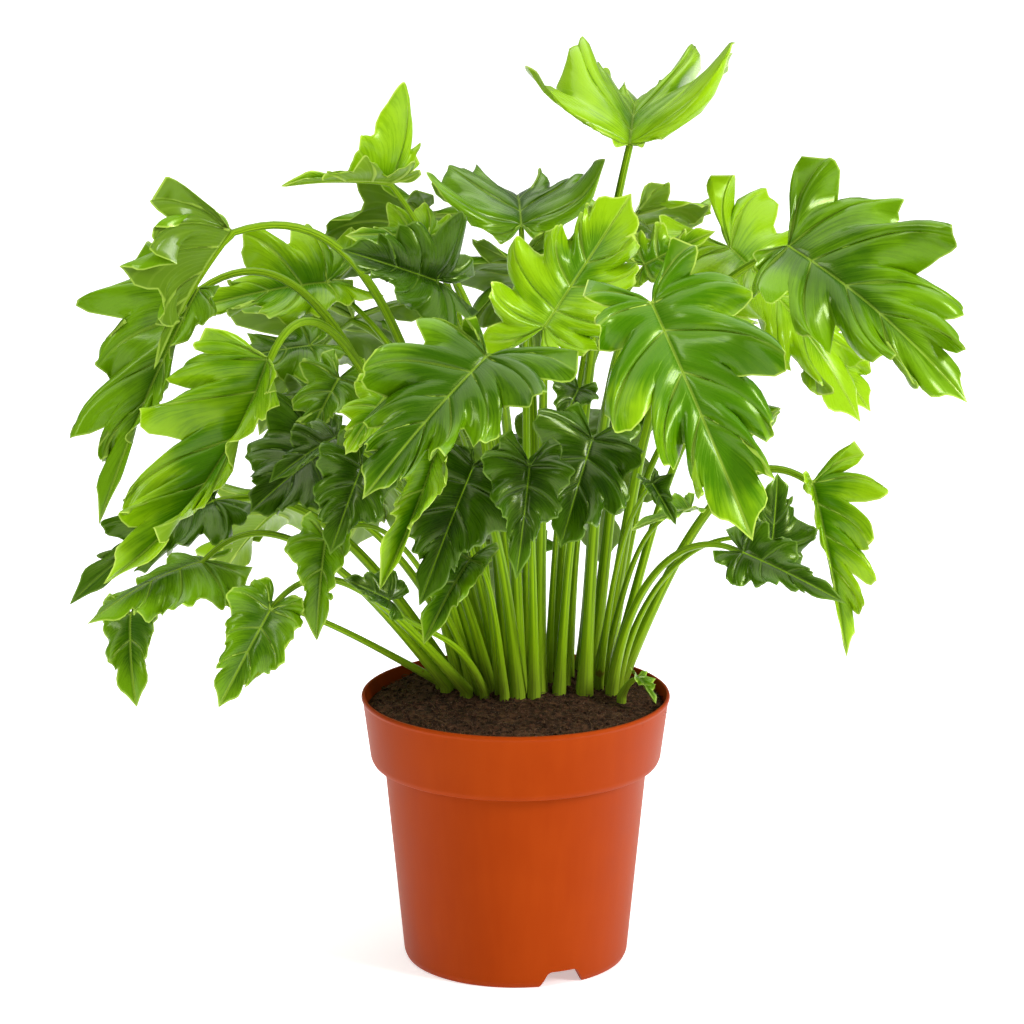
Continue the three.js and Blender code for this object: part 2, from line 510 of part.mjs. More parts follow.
function leafFrame(leaf) {
  const arch = THREE.MathUtils.degToRad(leaf.arch);
  const fold = THREE.MathUtils.degToRad(leaf.fold);
  const neck = new THREE.Vector3(...leaf.neck);
  const chord = new THREE.Vector3(...leaf.tip).sub(neck);
  const end = bend(0, 1, 0, arch, fold);
  const size = chord.length() / Math.hypot(end[1], end[2]);
  const forward = chord.clone().normalize();
  const face = new THREE.Vector3(...leaf.face);
  face.addScaledVector(forward, -face.dot(forward)).normalize();
  const pitch = Math.atan2(end[2], end[1]);
  const length = forward.clone().multiplyScalar(Math.cos(pitch));
  length.addScaledVector(face, -Math.sin(pitch));
  const up = forward.clone().multiplyScalar(Math.sin(pitch));
  up.addScaledVector(face, Math.cos(pitch));
  const side = new THREE.Vector3().crossVectors(length, up);
  const at = (x, y, h) => {
    const [a, b, c] = bend(x, y, h, arch, fold);
    return neck.clone().addScaledVector(side, a * size).addScaledVector(length, b * size)
      .addScaledVector(up, c * size);
  };
  return { at, up };
}

// Blade: triangles between the midrib and the margin, alike on both faces
function marginColumns(form) {
  const lobes = form.reach.length;
  const columns = [-0.25];
  for (let lobe = 0; lobe < lobes; lobe += 1) {
    form.columns.forEach((share) => columns.push(lobe + share));
  }
  columns.push(lobes - (1 - DRIP_START), lobes);
  return columns;
}

function bladeSolid(leaf, frame) {
  const form = FORMS[leaf.form];
  const lobes = form.reach.length;
  const points = form.roots.map((root) => frame.at(0, root, 0));
  const tip = points.push(frame.at(0, 1, 0)) - 1;
  const firstRibs = form.roots.map((root) => form.roots.indexOf(root));
  const triangles = [];
  const addTriangle = (corners, flip) => {
    if (new Set(corners).size === 3) {
      triangles.push(flip ? corners.reverse() : corners);
    }
  };
  for (const side of bladeSides(leaf)) {
    const flip = side.sign === 1;
    let before = null;
    for (const q of marginColumns(form)) {
      const rib = firstRibs[Math.min(lobes, Math.max(0, Math.round(q)))];
      let edge = tip;
      if (q < lobes) {
        const vein = veinAt(q, side.veins, form.roots, side.reach, side.sinus);
        const { x, y, h } = marginPoint(q, vein, lobes, side);
        edge = points.push(frame.at(side.sign * x, y, h)) - 1;
      }
      if (before) {
        addTriangle([before.rib, before.edge, edge], flip);
        addTriangle([before.rib, edge, rib], flip);
      }
      before = { rib, edge };
    }
  }
  return sheetSolid(points, triangles);
}

function sheetSolid(points, triangles) {
  const normals = points.map(() => new THREE.Vector3());
  const face = new THREE.Vector3();
  for (const [a, b, c] of triangles) {
    face.crossVectors(points[b].clone().sub(points[a]), points[c].clone().sub(points[a]));
    [a, b, c].forEach((corner) => normals[corner].add(face));
  }
  const count = points.length;
  const positions = new Float32Array(count * 6);
  points.forEach((point, i) => {
    const half = normals[i].normalize().multiplyScalar(BLADE_THICKNESS / 2);
    point.clone().add(half).toArray(positions, i * 3);
    point.clone().sub(half).toArray(positions, (count + i) * 3);
  });
  const index = [];
  const edges = new Map();
  for (const [a, b, c] of triangles) {
    index.push(a, b, c, count + a, count + c, count + b);
    [[a, b], [b, c], [c, a]].forEach(([from, to]) => edges.set(`${from} ${to}`, [from, to]));
  }
  for (const [from, to] of edges.values()) {
    if (!edges.has(`${to} ${from}`)) {
      index.push(from, count + from, count + to, from, count + to, to);
    }
  }
  const geometry = new THREE.BufferGeometry();
  geometry.setAttribute("position", new THREE.BufferAttribute(positions, 3));
  geometry.setIndex(index);
  return asSolid(geometry);
}

// Stalk: stands in the soil, arches to the blade and runs on under the midrib
function stalkPath(leaf, frame) {
  const [, endRadius] = FORMS[leaf.form].stem;
  const foot = new THREE.Vector3(...leaf.foot, soilHeight(...leaf.foot) - HOLE_DEPTH);
  const start = foot.clone();
  start.z += HOLE_DEPTH + STEM_RISE_ABOVE_SOIL;
  const neck = frame.at(0, 0, 0).addScaledVector(frame.up, -endRadius * STEM_SEAT);
  const run = neck.clone().sub(start);
  const flat = new THREE.Vector3(run.x, run.y, 0);
  const rise = THREE.MathUtils.degToRad(leaf.rise);
  const arrive = flat.clone().normalize().multiplyScalar(Math.cos(rise));
  arrive.z = Math.sin(rise);
  const leave = flat.clone().multiplyScalar(leaf.lean ?? STEM_LEAN);
  leave.z = Math.max(run.z, STEM_LEAST_RISE * flat.length());
  leave.normalize();
  const arc = new THREE.CubicBezierCurve3(
    start,
    start.clone().addScaledVector(leave, run.length() * STEM_FOOT_PULL),
    neck.clone().addScaledVector(arrive, -run.length() * STEM_NECK_PULL),
    neck,
  );
  const rib = frame.at(0, RIB_LENGTH, 0).addScaledVector(frame.up, -endRadius * RIB_SEAT);
  return [foot, ...arc.getPoints(leaf.form === "young" ? 4 : 6), rib];
}

function stalkSolid(leaf, frame) {
  const [footRadius, endRadius] = FORMS[leaf.form].stem;
  const path = stalkPath(leaf, frame);
  const neck = path.length - 2;
  const positions = [];
  const index = [];
  const across = new THREE.Vector3(1, 0, 0);
  path.forEach((point, i) => {
    const ahead = path[Math.min(i + 1, neck + 1)].clone().sub(path[Math.max(i - 1, 0)]).normalize();
    across.addScaledVector(ahead, -across.dot(ahead)).normalize();
    const other = new THREE.Vector3().crossVectors(ahead, across);
    const share = Math.max(0, i - 1) / (neck - 1);
    const radius = i > neck
      ? endRadius * RIB_TAPER
      : THREE.MathUtils.lerp(footRadius, endRadius, share ** STEM_TAPER);
    for (let k = 0; k < STEM_SIDES; k += 1) {
      const turn = 2 * Math.PI * k / STEM_SIDES;
      const corner = point.clone()
        .addScaledVector(across, radius * Math.cos(turn))
        .addScaledVector(other, radius * Math.sin(turn));
      positions.push(...corner.toArray());
    }
    if (i > 0) {
      for (let k = 0; k < STEM_SIDES; k += 1) {
        const a = (i - 1) * STEM_SIDES + k;
        const b = (i - 1) * STEM_SIDES + (k + 1) % STEM_SIDES;
        index.push(a, b, b + STEM_SIDES, a, b + STEM_SIDES, a + STEM_SIDES);
      }
    }
  });
  const top = (path.length - 1) * STEM_SIDES;
  for (let k = 1; k < STEM_SIDES - 1; k += 1) {
    index.push(0, k + 1, k, top, top + k, top + k + 1);
  }
  const geometry = new THREE.BufferGeometry();
  geometry.setAttribute("position", new THREE.Float32BufferAttribute(positions, 3));
  geometry.setIndex(index);
  return asSolid(geometry);
}

// Assembly
addMesh("pot", potSolid(), POT_COLOUR, 0.45);

let soil = soilSolid();
for (const leaf of LEAVES) {
  soil = soil.subtract(stalkHole(leaf));
}
addMesh("soil", soil, SOIL_COLOUR, 0.95);

for (const leaf of LEAVES) {
  const frame = leafFrame(leaf);
  const solid = stalkSolid(leaf, frame).add(bladeSolid(leaf, frame));
  addMesh(`leaf_${leaf.name}`, solid, leaf.colour, 0.42);
}

export default group;
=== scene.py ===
import math

import bpy
import numpy as np
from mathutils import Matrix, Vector


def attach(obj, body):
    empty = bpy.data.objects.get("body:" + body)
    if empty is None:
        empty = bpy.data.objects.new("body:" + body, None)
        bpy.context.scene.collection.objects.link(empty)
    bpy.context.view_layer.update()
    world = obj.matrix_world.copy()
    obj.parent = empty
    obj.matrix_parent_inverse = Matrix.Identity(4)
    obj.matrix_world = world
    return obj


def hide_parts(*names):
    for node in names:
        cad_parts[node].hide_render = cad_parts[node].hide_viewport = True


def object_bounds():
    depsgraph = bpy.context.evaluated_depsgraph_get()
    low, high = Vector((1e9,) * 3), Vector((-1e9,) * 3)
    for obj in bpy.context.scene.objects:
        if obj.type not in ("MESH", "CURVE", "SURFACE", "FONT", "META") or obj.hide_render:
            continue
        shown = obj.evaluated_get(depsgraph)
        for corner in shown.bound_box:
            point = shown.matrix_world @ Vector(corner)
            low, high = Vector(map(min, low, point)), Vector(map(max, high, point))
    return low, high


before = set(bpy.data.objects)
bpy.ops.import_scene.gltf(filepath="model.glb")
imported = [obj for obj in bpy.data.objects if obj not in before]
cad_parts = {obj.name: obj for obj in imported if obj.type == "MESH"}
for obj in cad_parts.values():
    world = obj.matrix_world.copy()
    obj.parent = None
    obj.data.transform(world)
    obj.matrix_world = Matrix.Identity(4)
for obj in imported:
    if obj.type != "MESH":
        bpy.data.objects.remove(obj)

cad_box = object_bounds()

# Pot: one injection-moulded shell of terracotta-coloured plastic. The body tapers down to a ring
# foot with three drainage notches, a step near the top carries a wider collar, and the lip is
# rounded over. It is turned from one outline, and the notches and drain holes are cut out of it.
MM = 0.001
RIM_RADIUS = 85
POT_HEIGHT = 150
WALL = 1.5
COLLAR_FOOT_RADIUS = 80
COLLAR_FOOT_Z = 112
COLLAR_STEP = 3
LIP_ROUND = 0.5
STEP_ROUND = 1.2
EDGE_ROUND = 0.8
INSIDE_ROUND = 1.5
BODY_TOP_RADIUS = 72.5
BODY_FOOT_RADIUS = 62
FOOT_RADIUS = 60.5
FOOT_EDGE = 3
FOOT_EDGE_ROUND = 1.4
FOOT_RING_WIDTH = 2.6
FOOT_RING_ROUND = 0.4
FLOOR_UNDERSIDE_Z = 9
FLOOR_TOP_Z = 10.8
NOTCH_COUNT = 3
NOTCH_FIRST_DEG = -65.4
NOTCH_FOOT_WIDTH = 27
NOTCH_TOP_WIDTH = 17
NOTCH_HEIGHT = 8.6
NOTCH_ROUND = 2.4
NOTCH_INNER_RADIUS = 51.5
NOTCH_DEPTH = 14
DRAIN_COUNT = 6
DRAIN_RADIUS = 4
DRAIN_CIRCLE_RADIUS = 42
DRILL_LENGTH = 8
DRILL_SIDES = 24
TURNING_RADIUS = 40
WELD = 1e-6
POT_SIDES = 144
POT_CREASE_DEG = 38
TERRACOTTA = (0.30, 0.033, 0.002, 1)
TERRACOTTA_PALE = (0.34, 0.042, 0.003, 1)
SOIL_DUST = (0.09, 0.035, 0.015, 1)
DUST_HEIGHTS = (0.120, 0.152)
# Painted shade: a thin dark line on the pot's body just under the collar, where the collar's
# overhang shades it.
COLLAR_SHADE_COLOUR = (0.07, 0.012, 0.002, 1)
COLLAR_SHADE_FROM = (0.1100, 0.1116)
COLLAR_SHADE_TO = (0.1119, 0.1123)


class Wire:
    """One value in a node tree. Sums on it add Math nodes, and node() adds any other node."""

    def __init__(self, tree, socket=None):
        self.tree = tree
        self.socket = socket

    def node(self, kind, sockets, output=0, **settings):
        made = self.tree.nodes.new(kind)
        for key, value in settings.items():
            setattr(made, key, value)
        for key, value in sockets.items():
            for one in value if isinstance(value, list) else [value]:
                if isinstance(one, Wire):
                    self.tree.links.new(one.socket, made.inputs[key])
                else:
                    made.inputs[key].default_value = one
        return Wire(self.tree, made.outputs[output]) if made.outputs else None

    def maths(self, operation, first, second=0.0):
        return self.node("ShaderNodeMath", {0: first, 1: second}, operation=operation)

    def __add__(self, other):
        return self.maths("ADD", self, other)

    def __radd__(self, other):
        return self.maths("ADD", other, self)

    def __sub__(self, other):
        return self.maths("SUBTRACT", self, other)

    def __rsub__(self, other):
        return self.maths("SUBTRACT", other, self)

    def __mul__(self, other):
        return self.maths("MULTIPLY", self, other)

    def __rmul__(self, other):
        return self.maths("MULTIPLY", other, self)

    def __rtruediv__(self, other):
        return self.maths("DIVIDE", other, self)

    def fade(self, low, high, start=0.0, end=1.0):
        """Goes smoothly from start to end while the value goes from low to high."""
        ends = {"From Min": low, "From Max": high, "To Min": start, "To Max": end, "Value": self}
        return self.node("ShaderNodeMapRange", ends, interpolation_type="SMOOTHSTEP")

    def colours(self, first, second):
        """The first colour where the value is 0, the second where it is 1."""
        return self.node("ShaderNodeMix", {0: self, 6: first, 7: second}, 2, data_type="RGBA")

    def vector(self, x, y, z):
        return self.node("ShaderNodeCombineXYZ", {0: x, 1: y, 2: z})

    def noise(self, scale, detail=2.0, roughness=0.5):
        sizes = {"Vector": self, "Scale": scale, "Detail": detail, "Roughness": roughness}
        return self.node("ShaderNodeTexNoise", sizes)

    def scaled(self, amount):
        return self.node("ShaderNodeVectorMath", {0: self, "Scale": amount}, operation="SCALE")

    def axis(self, letter):
        return self.node("ShaderNodeSeparateXYZ", {"Vector": self}, letter)

    def carried(self, attribute):
        """What the mesh carries under a name, inside a finish."""
        return self.node("ShaderNodeAttribute", {}, "Fac", attribute_name=attribute)


def new_finish(name):
    """A bare material, and a wire for the place on its piece."""
    material = bpy.data.materials.new(name)
    material.use_nodes = True
    material.node_tree.nodes.clear()
    return material, Wire(material.node_tree).node("ShaderNodeTexCoord", {}, "Object")


def surface(colour, roughness, height, relief, **constants):
    """Ends a finish: relief is how far in metres the height's whole range stands out."""
    bump = colour.node("ShaderNodeBump", {"Height": height, "Distance": relief})
    sockets = {"Base Color": colour, "Roughness": roughness, "Normal": bump}
    sockets |= {key.replace("_", " "): value for key, value in constants.items()}
    shader = colour.node("ShaderNodeBsdfPrincipled", sockets)
    colour.node("ShaderNodeOutputMaterial", {"Surface": shader})


def new_tree(name, inputs):
    """A geometry tree with its named inputs, and the wires that leave them."""
    tree = bpy.data.node_groups.new(name, "GeometryNodeTree")
    tree.interface.new_socket("Geometry", in_out="OUTPUT", socket_type="NodeSocketGeometry")
    for label, kind in {"Geometry": "Geometry", **inputs}.items():
        tree.interface.new_socket(label, in_out="INPUT", socket_type="NodeSocket" + kind)
    entry = tree.nodes.new("NodeGroupInput")
    return tree, {socket.name: Wire(tree, socket) for socket in entry.outputs if socket.name}


def mesh_object(name, points, edges=(), faces=(), carries=None):
    """An object at the origin, from points in millimetres, with what its points carry."""
    mesh = bpy.data.meshes.new(name)
    mesh.from_pydata([Vector(point) * MM for point in points], list(edges), list(faces))
    for key, values in (carries or {}).items():
        mesh.attributes.new(key, "FLOAT", "POINT").data.foreach_set("value", values)
    made = bpy.data.objects.new(name, mesh)
    bpy.context.scene.collection.objects.link(made)
    return made


def grow(made, tree, **values):
    """Runs a geometry tree on an object, and leaves the result as its plain mesh."""
    modifier = made.modifiers.new("form", "NODES")
    modifier.node_group = tree
    for item in tree.interface.items_tree:
        key = item.name.lower().replace(" ", "_")
        if item.in_out == "INPUT" and key in values:
            modifier[item.identifier] = values[key]
    made.data.update()
    graph = bpy.context.evaluated_depsgraph_get()
    plain = bpy.data.meshes.new_from_object(
        made.evaluated_get(graph), preserve_all_data_layers=True, depsgraph=graph)
    made.modifiers.clear()
    made.data = plain
    made.data.name = made.name
    return made


def unit(vector):
    """The same direction, one long."""
    return vector / np.linalg.norm(vector)


def rounded(corners, steps=5):
    """An outline from corners (radius, height, rounding), with its round corners as arcs."""
    points = []
    for i, (r, z, rounding) in enumerate(corners):
        corner = np.array([r, z])
        if rounding == 0:
            points.append(corner)
            continue
        before = unit(np.array(corners[i - 1][:2]) - corner)
        after = unit(np.array(corners[(i + 1) % len(corners)][:2]) - corner)
        for step in range(steps + 1):
            share = step / steps
            points.append(corner + rounding * ((1 - share) ** 2 * before + share ** 2 * after))
    return points


def outline_object(name, points):
    """A closed loop of edges in the X-Z plane, moved in so that the axis lies at the centre."""
    count = len(points)
    places = [(r - TURNING_RADIUS, -z, 0) for r, z in points]
    return mesh_object(name, places, [(i, (i + 1) % count) for i in range(count)])


def turned(shape, sides):
    """Turns a closed outline about the Z axis."""
    turning = TURNING_RADIUS * MM
    path = shape.node("GeometryNodeCurvePrimitiveCircle", {"Resolution": sides, "Radius": turning})
    outline = shape.node("GeometryNodeMeshToCurve", {"Mesh": shape})
    shell = shape.node("GeometryNodeCurveToMesh", {"Curve": path, "Profile Curve": outline})
    shell = shape.node("GeometryNodeFlipFaces", {"Mesh": shell})
    return shape.node("GeometryNodeMergeByDistance", {"Geometry": shell, "Distance": WELD})


def ring_of(shape, count, radius, first, piece):
    """Copies of a piece, placed round the Z axis and turned with it."""
    points = shape.node("GeometryNodeMeshCircle", {"Vertices": count, "Radius": radius})
    index = shape.node("GeometryNodeInputIndex", {})
    turn = shape.vector(0.0, 0.0, first + index * (2 * math.pi / count))
    sockets = {"Points": points, "Instance": piece, "Rotation": turn}
    copies = shape.node("GeometryNodeInstanceOnPoints", sockets)
    return shape.node("GeometryNodeRealizeInstances", {"Geometry": copies})


def smoothed(shape, sharp_deg):
    """Smooth shading, with edges sharper than the angle left crisp."""
    smooth = shape.node("GeometryNodeSetShadeSmooth", {"Geometry": shape})
    angle = shape.node("GeometryNodeInputMeshEdgeAngle", {})
    crisp = shape.maths("GREATER_THAN", angle, math.radians(sharp_deg))
    sockets = {"Geometry": smooth, "Selection": crisp, "Shade Smooth": False}
    return shape.node("GeometryNodeSetShadeSmooth", sockets, domain="EDGE")


def painted(shape, finish):
    """The shape in one material."""
    return shape.node("GeometryNodeSetMaterial", {"Geometry": shape, "Material": finish})


def collar_radius(z):
    """The collar widens evenly from its foot to the lip."""
    low, high = COLLAR_FOOT_RADIUS - LIP_ROUND, RIM_RADIUS - LIP_ROUND
    return low + (high - low) * (z - COLLAR_FOOT_Z) / (POT_HEIGHT - COLLAR_FOOT_Z)


def pot_outline():
    """The section of the pot's wall, up the outside and down the inside."""
    step_top = COLLAR_FOOT_Z + COLLAR_STEP
    return rounded([
        (0, FLOOR_UNDERSIDE_Z, 0),
        (FOOT_RADIUS - FOOT_RING_WIDTH - WALL, FLOOR_UNDERSIDE_Z, EDGE_ROUND),
        (FOOT_RADIUS - FOOT_RING_WIDTH, 0, FOOT_RING_ROUND),
        (FOOT_RADIUS, 0, EDGE_ROUND),
        (BODY_FOOT_RADIUS, FOOT_EDGE, FOOT_EDGE_ROUND),
        (BODY_TOP_RADIUS, COLLAR_FOOT_Z, EDGE_ROUND),
        (COLLAR_FOOT_RADIUS - WALL, COLLAR_FOOT_Z + 0.2 * WALL, EDGE_ROUND),
        (collar_radius(step_top), step_top, STEP_ROUND),
        (collar_radius(POT_HEIGHT - 2 * WALL), POT_HEIGHT - 2 * WALL, LIP_ROUND),
        (RIM_RADIUS, POT_HEIGHT - WALL, LIP_ROUND),
        (RIM_RADIUS - LIP_ROUND, POT_HEIGHT, LIP_ROUND),
        (RIM_RADIUS - LIP_ROUND - WALL, POT_HEIGHT, LIP_ROUND),
        (collar_radius(step_top) - WALL, step_top, INSIDE_ROUND),
        (BODY_TOP_RADIUS - WALL, COLLAR_FOOT_Z + WALL, INSIDE_ROUND),
        (BODY_FOOT_RADIUS - WALL, FLOOR_TOP_Z, INSIDE_ROUND),
        (0, FLOOR_TOP_Z, 0),
    ])


def notch_tool():
    """The tapered block that leaves one foot notch, pointing along +X."""
    section = rounded([
        (-NOTCH_FOOT_WIDTH / 2, -1, 0),
        (NOTCH_FOOT_WIDTH / 2, -1, 0),
        (NOTCH_TOP_WIDTH / 2, NOTCH_HEIGHT, NOTCH_ROUND),
        (-NOTCH_TOP_WIDTH / 2, NOTCH_HEIGHT, NOTCH_ROUND),
    ])
    count = len(section)
    ends = (NOTCH_INNER_RADIUS, NOTCH_INNER_RADIUS + NOTCH_DEPTH)
    points = [(x, y, z) for x in ends for y, z in section]
    faces = [list(range(count))[::-1], list(range(count, 2 * count))]
    for i in range(count):
        after = (i + 1) % count
        faces.append([i, after, count + after, count + i])
    return mesh_object("notch_tool", points, (), faces)


pot_tree, pot_in = new_tree("turned pot", {
    "Sides": "Int", "Notch Tool": "Object", "Notches": "Int", "First Notch": "Float",
    "Drain Holes": "Int", "Drain Radius": "Float", "Drain Circle": "Float", "Finish": "Material"})
shell = turned(pot_in["Geometry"], pot_in["Sides"])
notch = shell.node("GeometryNodeObjectInfo", {"Object": pot_in["Notch Tool"]}, "Geometry")
notches = ring_of(shell, pot_in["Notches"], 0.0, pot_in["First Notch"], notch)
drill = shell.node("GeometryNodeMeshCylinder", {
    "Vertices": DRILL_SIDES, "Radius": pot_in["Drain Radius"], "Depth": DRILL_LENGTH * MM})
holes = ring_of(shell, pot_in["Drain Holes"], pot_in["Drain Circle"], 0.0, drill)
holes = shell.node("GeometryNodeTransform", {
    "Geometry": holes, "Translation": (0, 0, FLOOR_UNDERSIDE_Z * MM)})
tools = shell.node("GeometryNodeJoinGeometry", {"Geometry": [notches, holes]})
shell = shell.node("GeometryNodeMeshBoolean", {
    "Mesh 1": shell, "Mesh 2": tools}, operation="DIFFERENCE", solver="EXACT")
shell = painted(smoothed(shell, POT_CREASE_DEG), pot_in["Finish"])
shell = shell.node("GeometryNodeRealizeInstances", {"Geometry": shell})
shell.node("NodeGroupOutput", {"Geometry": shell})

pot_plastic, place = new_finish("pot_plastic")
clouds = place.noise(14, 3)
flow = place.node("ShaderNodeMapping", {"Vector": place, "Scale": (1, 1, 0.12)}).noise(160, 4)
grain = place.noise(1500, 3)
height = place.axis("Z")
dust = place.noise(420, 5, 0.7).fade(0.62, 0.74) * height.fade(*DUST_HEIGHTS)
colour = (clouds * 0.7 + flow * 0.3).fade(0.3, 0.7).colours(TERRACOTTA, TERRACOTTA_PALE)
colour = (dust * 0.35).colours(colour, SOIL_DUST)
# Painted shade: the body is darkened in a thin band just under the collar, where the collar shades
# it.
collar_shade_band = height.fade(*COLLAR_SHADE_FROM) * height.fade(*COLLAR_SHADE_TO, 1.0, 0.0)
colour = (collar_shade_band * 0.75).colours(colour, COLLAR_SHADE_COLOUR)
roughness = clouds.fade(0.3, 0.7, 0.42, 0.50) + dust * 0.3 + flow * 0.05
surface(colour, roughness, grain * 0.5 + flow * 0.5, 0.00008, Specular_IOR_Level=0.12,
        Specular_Tint=(1, 0.4, 0.1, 1))

notch_object = notch_tool()
pot = grow(
    outline_object("terracotta_pot", pot_outline()), pot_tree, sides=POT_SIDES,
    notch_tool=notch_object, notches=NOTCH_COUNT, first_notch=math.radians(NOTCH_FIRST_DEG),
    drain_holes=DRAIN_COUNT, drain_radius=DRAIN_RADIUS * MM,
    drain_circle=DRAIN_CIRCLE_RADIUS * MM, finish=pot_plastic)
bpy.data.objects.remove(notch_object)
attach(pot, "root")
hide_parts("pot")

# Soil: peat and bark compost that fills the pot, one plug with a lumpy top. Crumbs lie scattered
# over it, and thin pale fibres of coir and root show among them.
GAP = 0.3
SOIL_TOP_Z = 146.2
SOIL_TILT_X = 1.2
SOIL_TILT_Y = 0.7
SOIL_SIDE_DROP = 2.6
SOIL_HEAP = 4
SOIL_SHOULDER = 4
SOIL_SHOULDER_SLOPE = 0.5
SOIL_RINGS = 56
SOIL_SIDES = 180
SOIL_CREASE_DEG = 50
SOIL_SEED = 4
TOP_MARGIN = 1
SKIN_MARGIN = 0.5
LUMP_HEIGHT = 0.0034
CRUMBS_PER_SQUARE_METRE = 90000.0
CRUMB_RADIUS = 0.0009
CRUMB_KINDS = 4
CRUMB_KNOBS = 3.2
CRUMB_KNOB_SCALE = 900.0
CRUMB_KINDS_APART = 3.7
CRUMB_LEAST, CRUMB_MOST = (0.4, 0.4, 0.35), (1.5, 1.5, 1.0)
FIBRES_PER_SQUARE_METRE = 16000.0
FIBRE_BOWS_AND_LENGTHS = ((0.0016, 0.006), (-0.0024, 0.008), (0.0010, 0.004))
FIBRE_END_RISE = 0.0004
FIBRE_MIDDLE_RISE = 0.0022
FIBRE_RADIUS = 0.00014
FIBRE_TILT = 0.25
FIBRE_LEAST, FIBRE_MOST = (0.5, 0.5, 0.5), (1.4, 1.4, 1.2)
PEAT_DARK = (0.018, 0.008, 0.0035, 1)
PEAT = (0.105, 0.046, 0.022, 1)
PEAT_SPECK = (0.22, 0.15, 0.10, 1)
COIR = (0.16, 0.09, 0.045, 1)
COIR_DARK = (0.07, 0.035, 0.016, 1)


def soil_rise(u, v):
    """How far the soil stands above its flat top, from places as shares of the rim's radius: it is
    heaped in the middle and a little tilted. It takes numbers or wires, and leaves out the lumps."""
    heap = SOIL_HEAP * (1 - u * u - v * v)
    return heap + SOIL_TILT_X * u + SOIL_TILT_Y * v - SOIL_SIDE_DROP * (u * u)


def soil_outline():
    """The section of the soil, up the inside of the pot and in over its flat top."""
    inset = WALL + GAP
    step_top = COLLAR_FOOT_Z + COLLAR_STEP
    shoulder_z = SOIL_TOP_Z - SOIL_SHOULDER
    edge = collar_radius(shoulder_z) - inset - GAP
    top_edge = edge - SOIL_SHOULDER_SLOPE * SOIL_SHOULDER
    top = [(top_edge * (1 - i / SOIL_RINGS), SOIL_TOP_Z) for i in range(SOIL_RINGS + 1)]
    return [
        (0, FLOOR_TOP_Z + GAP),
        (BODY_FOOT_RADIUS - inset, FLOOR_TOP_Z + GAP),
        (BODY_TOP_RADIUS - inset, COLLAR_FOOT_Z + WALL + 2 * GAP),
        (collar_radius(step_top) - inset - GAP, step_top + 2 * GAP),
        (edge, shoulder_z),
    ] + top


soil_tree, soil_in = new_tree("soil in a pot", {
    "Sides": "Int", "Lumps": "Float", "Crumbs": "Float", "Crumb Size": "Float",
    "Fibres": "Float", "Seed": "Int", "Finish": "Material", "Fibre Finish": "Material"})
plug = turned(soil_in["Geometry"], soil_in["Sides"])
spot = plug.node("GeometryNodeInputPosition", {})
spot_x, spot_y, spot_z = [spot.axis(letter) for letter in "XYZ"]
on_top = plug.maths("GREATER_THAN", spot_z, (SOIL_TOP_Z - TOP_MARGIN) * MM)
rim_share = 1 / (RIM_RADIUS * MM)
rise = soil_rise(spot_x * rim_share, spot_y * rim_share) * MM
lumps = spot.noise(75, 2) - 0.62 + (spot.noise(300, 3) - 0.6) * 0.55
lift = rise + lumps * soil_in["Lumps"]
plug = plug.node("GeometryNodeSetPosition", {
    "Geometry": plug, "Selection": on_top, "Offset": plug.vector(0.0, 0.0, lift)})
on_skin = plug.maths("GREATER_THAN", spot_z, (SOIL_TOP_Z - SOIL_SHOULDER + SKIN_MARGIN) * MM)
skin = plug.node("GeometryNodeSeparateGeometry", {
    "Geometry": plug, "Selection": on_skin}, domain="FACE")


def scattered(skin, density, seed, kinds, least, most, tilt):
    """Copies of a few kinds of piece, strewn over a skin, each turned and sized at random."""
    points = skin.node("GeometryNodeDistributePointsOnFaces", {
        "Mesh": skin, "Density": density, "Seed": seed})

    def chance(low, high):
        return skin.node("FunctionNodeRandomValue", {
            0: low, 1: high, "Seed": seed}, data_type="FLOAT_VECTOR")

    pick = skin.node("FunctionNodeRandomValue", {
        4: 0, 5: len(kinds) - 1, "Seed": seed}, 2, data_type="INT")
    pieces = skin.node("GeometryNodeGeometryToInstance", {"Geometry": kinds})
    copies = skin.node("GeometryNodeInstanceOnPoints", {
        "Points": points, "Instance": pieces, "Pick Instance": True, "Instance Index": pick,
        "Rotation": chance((-tilt, -tilt, 0.0), (tilt, tilt, 2 * math.pi)),
        "Scale": chance(least, most)})
    return skin.node("GeometryNodeRealizeInstances", {"Geometry": copies})


crumbs = []
for kind in range(CRUMB_KINDS):
    ball = plug.node("GeometryNodeMeshIcoSphere", {
        "Radius": soil_in["Crumb Size"], "Subdivisions": 2})
    knobs = plug.node("ShaderNodeTexNoise", {
        "Vector": spot, "W": kind * CRUMB_KINDS_APART, "Scale": CRUMB_KNOB_SCALE,
        "Detail": 1.0}, noise_dimensions="4D")
    outward = plug.node("GeometryNodeInputNormal", {})
    push = outward.scaled((knobs - 0.5) * soil_in["Crumb Size"] * CRUMB_KNOBS)
    crumbs.append(plug.node("GeometryNodeSetPosition", {"Geometry": ball, "Offset": push}))
strewn = scattered(
    skin, soil_in["Crumbs"], soil_in["Seed"], crumbs, CRUMB_LEAST, CRUMB_MOST, math.pi)

threads = []
for bow, length in FIBRE_BOWS_AND_LENGTHS:
    line = plug.node("GeometryNodeCurveQuadraticBezier", {
        "Resolution": 6, "Start": (-length / 2, 0, FIBRE_END_RISE),
        "Middle": (0, bow, FIBRE_MIDDLE_RISE), "End": (length / 2, 0.3 * bow, FIBRE_END_RISE)})
    round_section = plug.node("GeometryNodeCurvePrimitiveCircle", {
        "Resolution": 4, "Radius": FIBRE_RADIUS})
    threads.append(plug.node("GeometryNodeCurveToMesh", {
        "Curve": line, "Profile Curve": round_section, "Fill Caps": True}))
fibres = scattered(
    skin, soil_in["Fibres"], soil_in["Seed"] + 1, threads, FIBRE_LEAST, FIBRE_MOST, FIBRE_TILT)
fibres = painted(fibres, soil_in["Fibre Finish"])

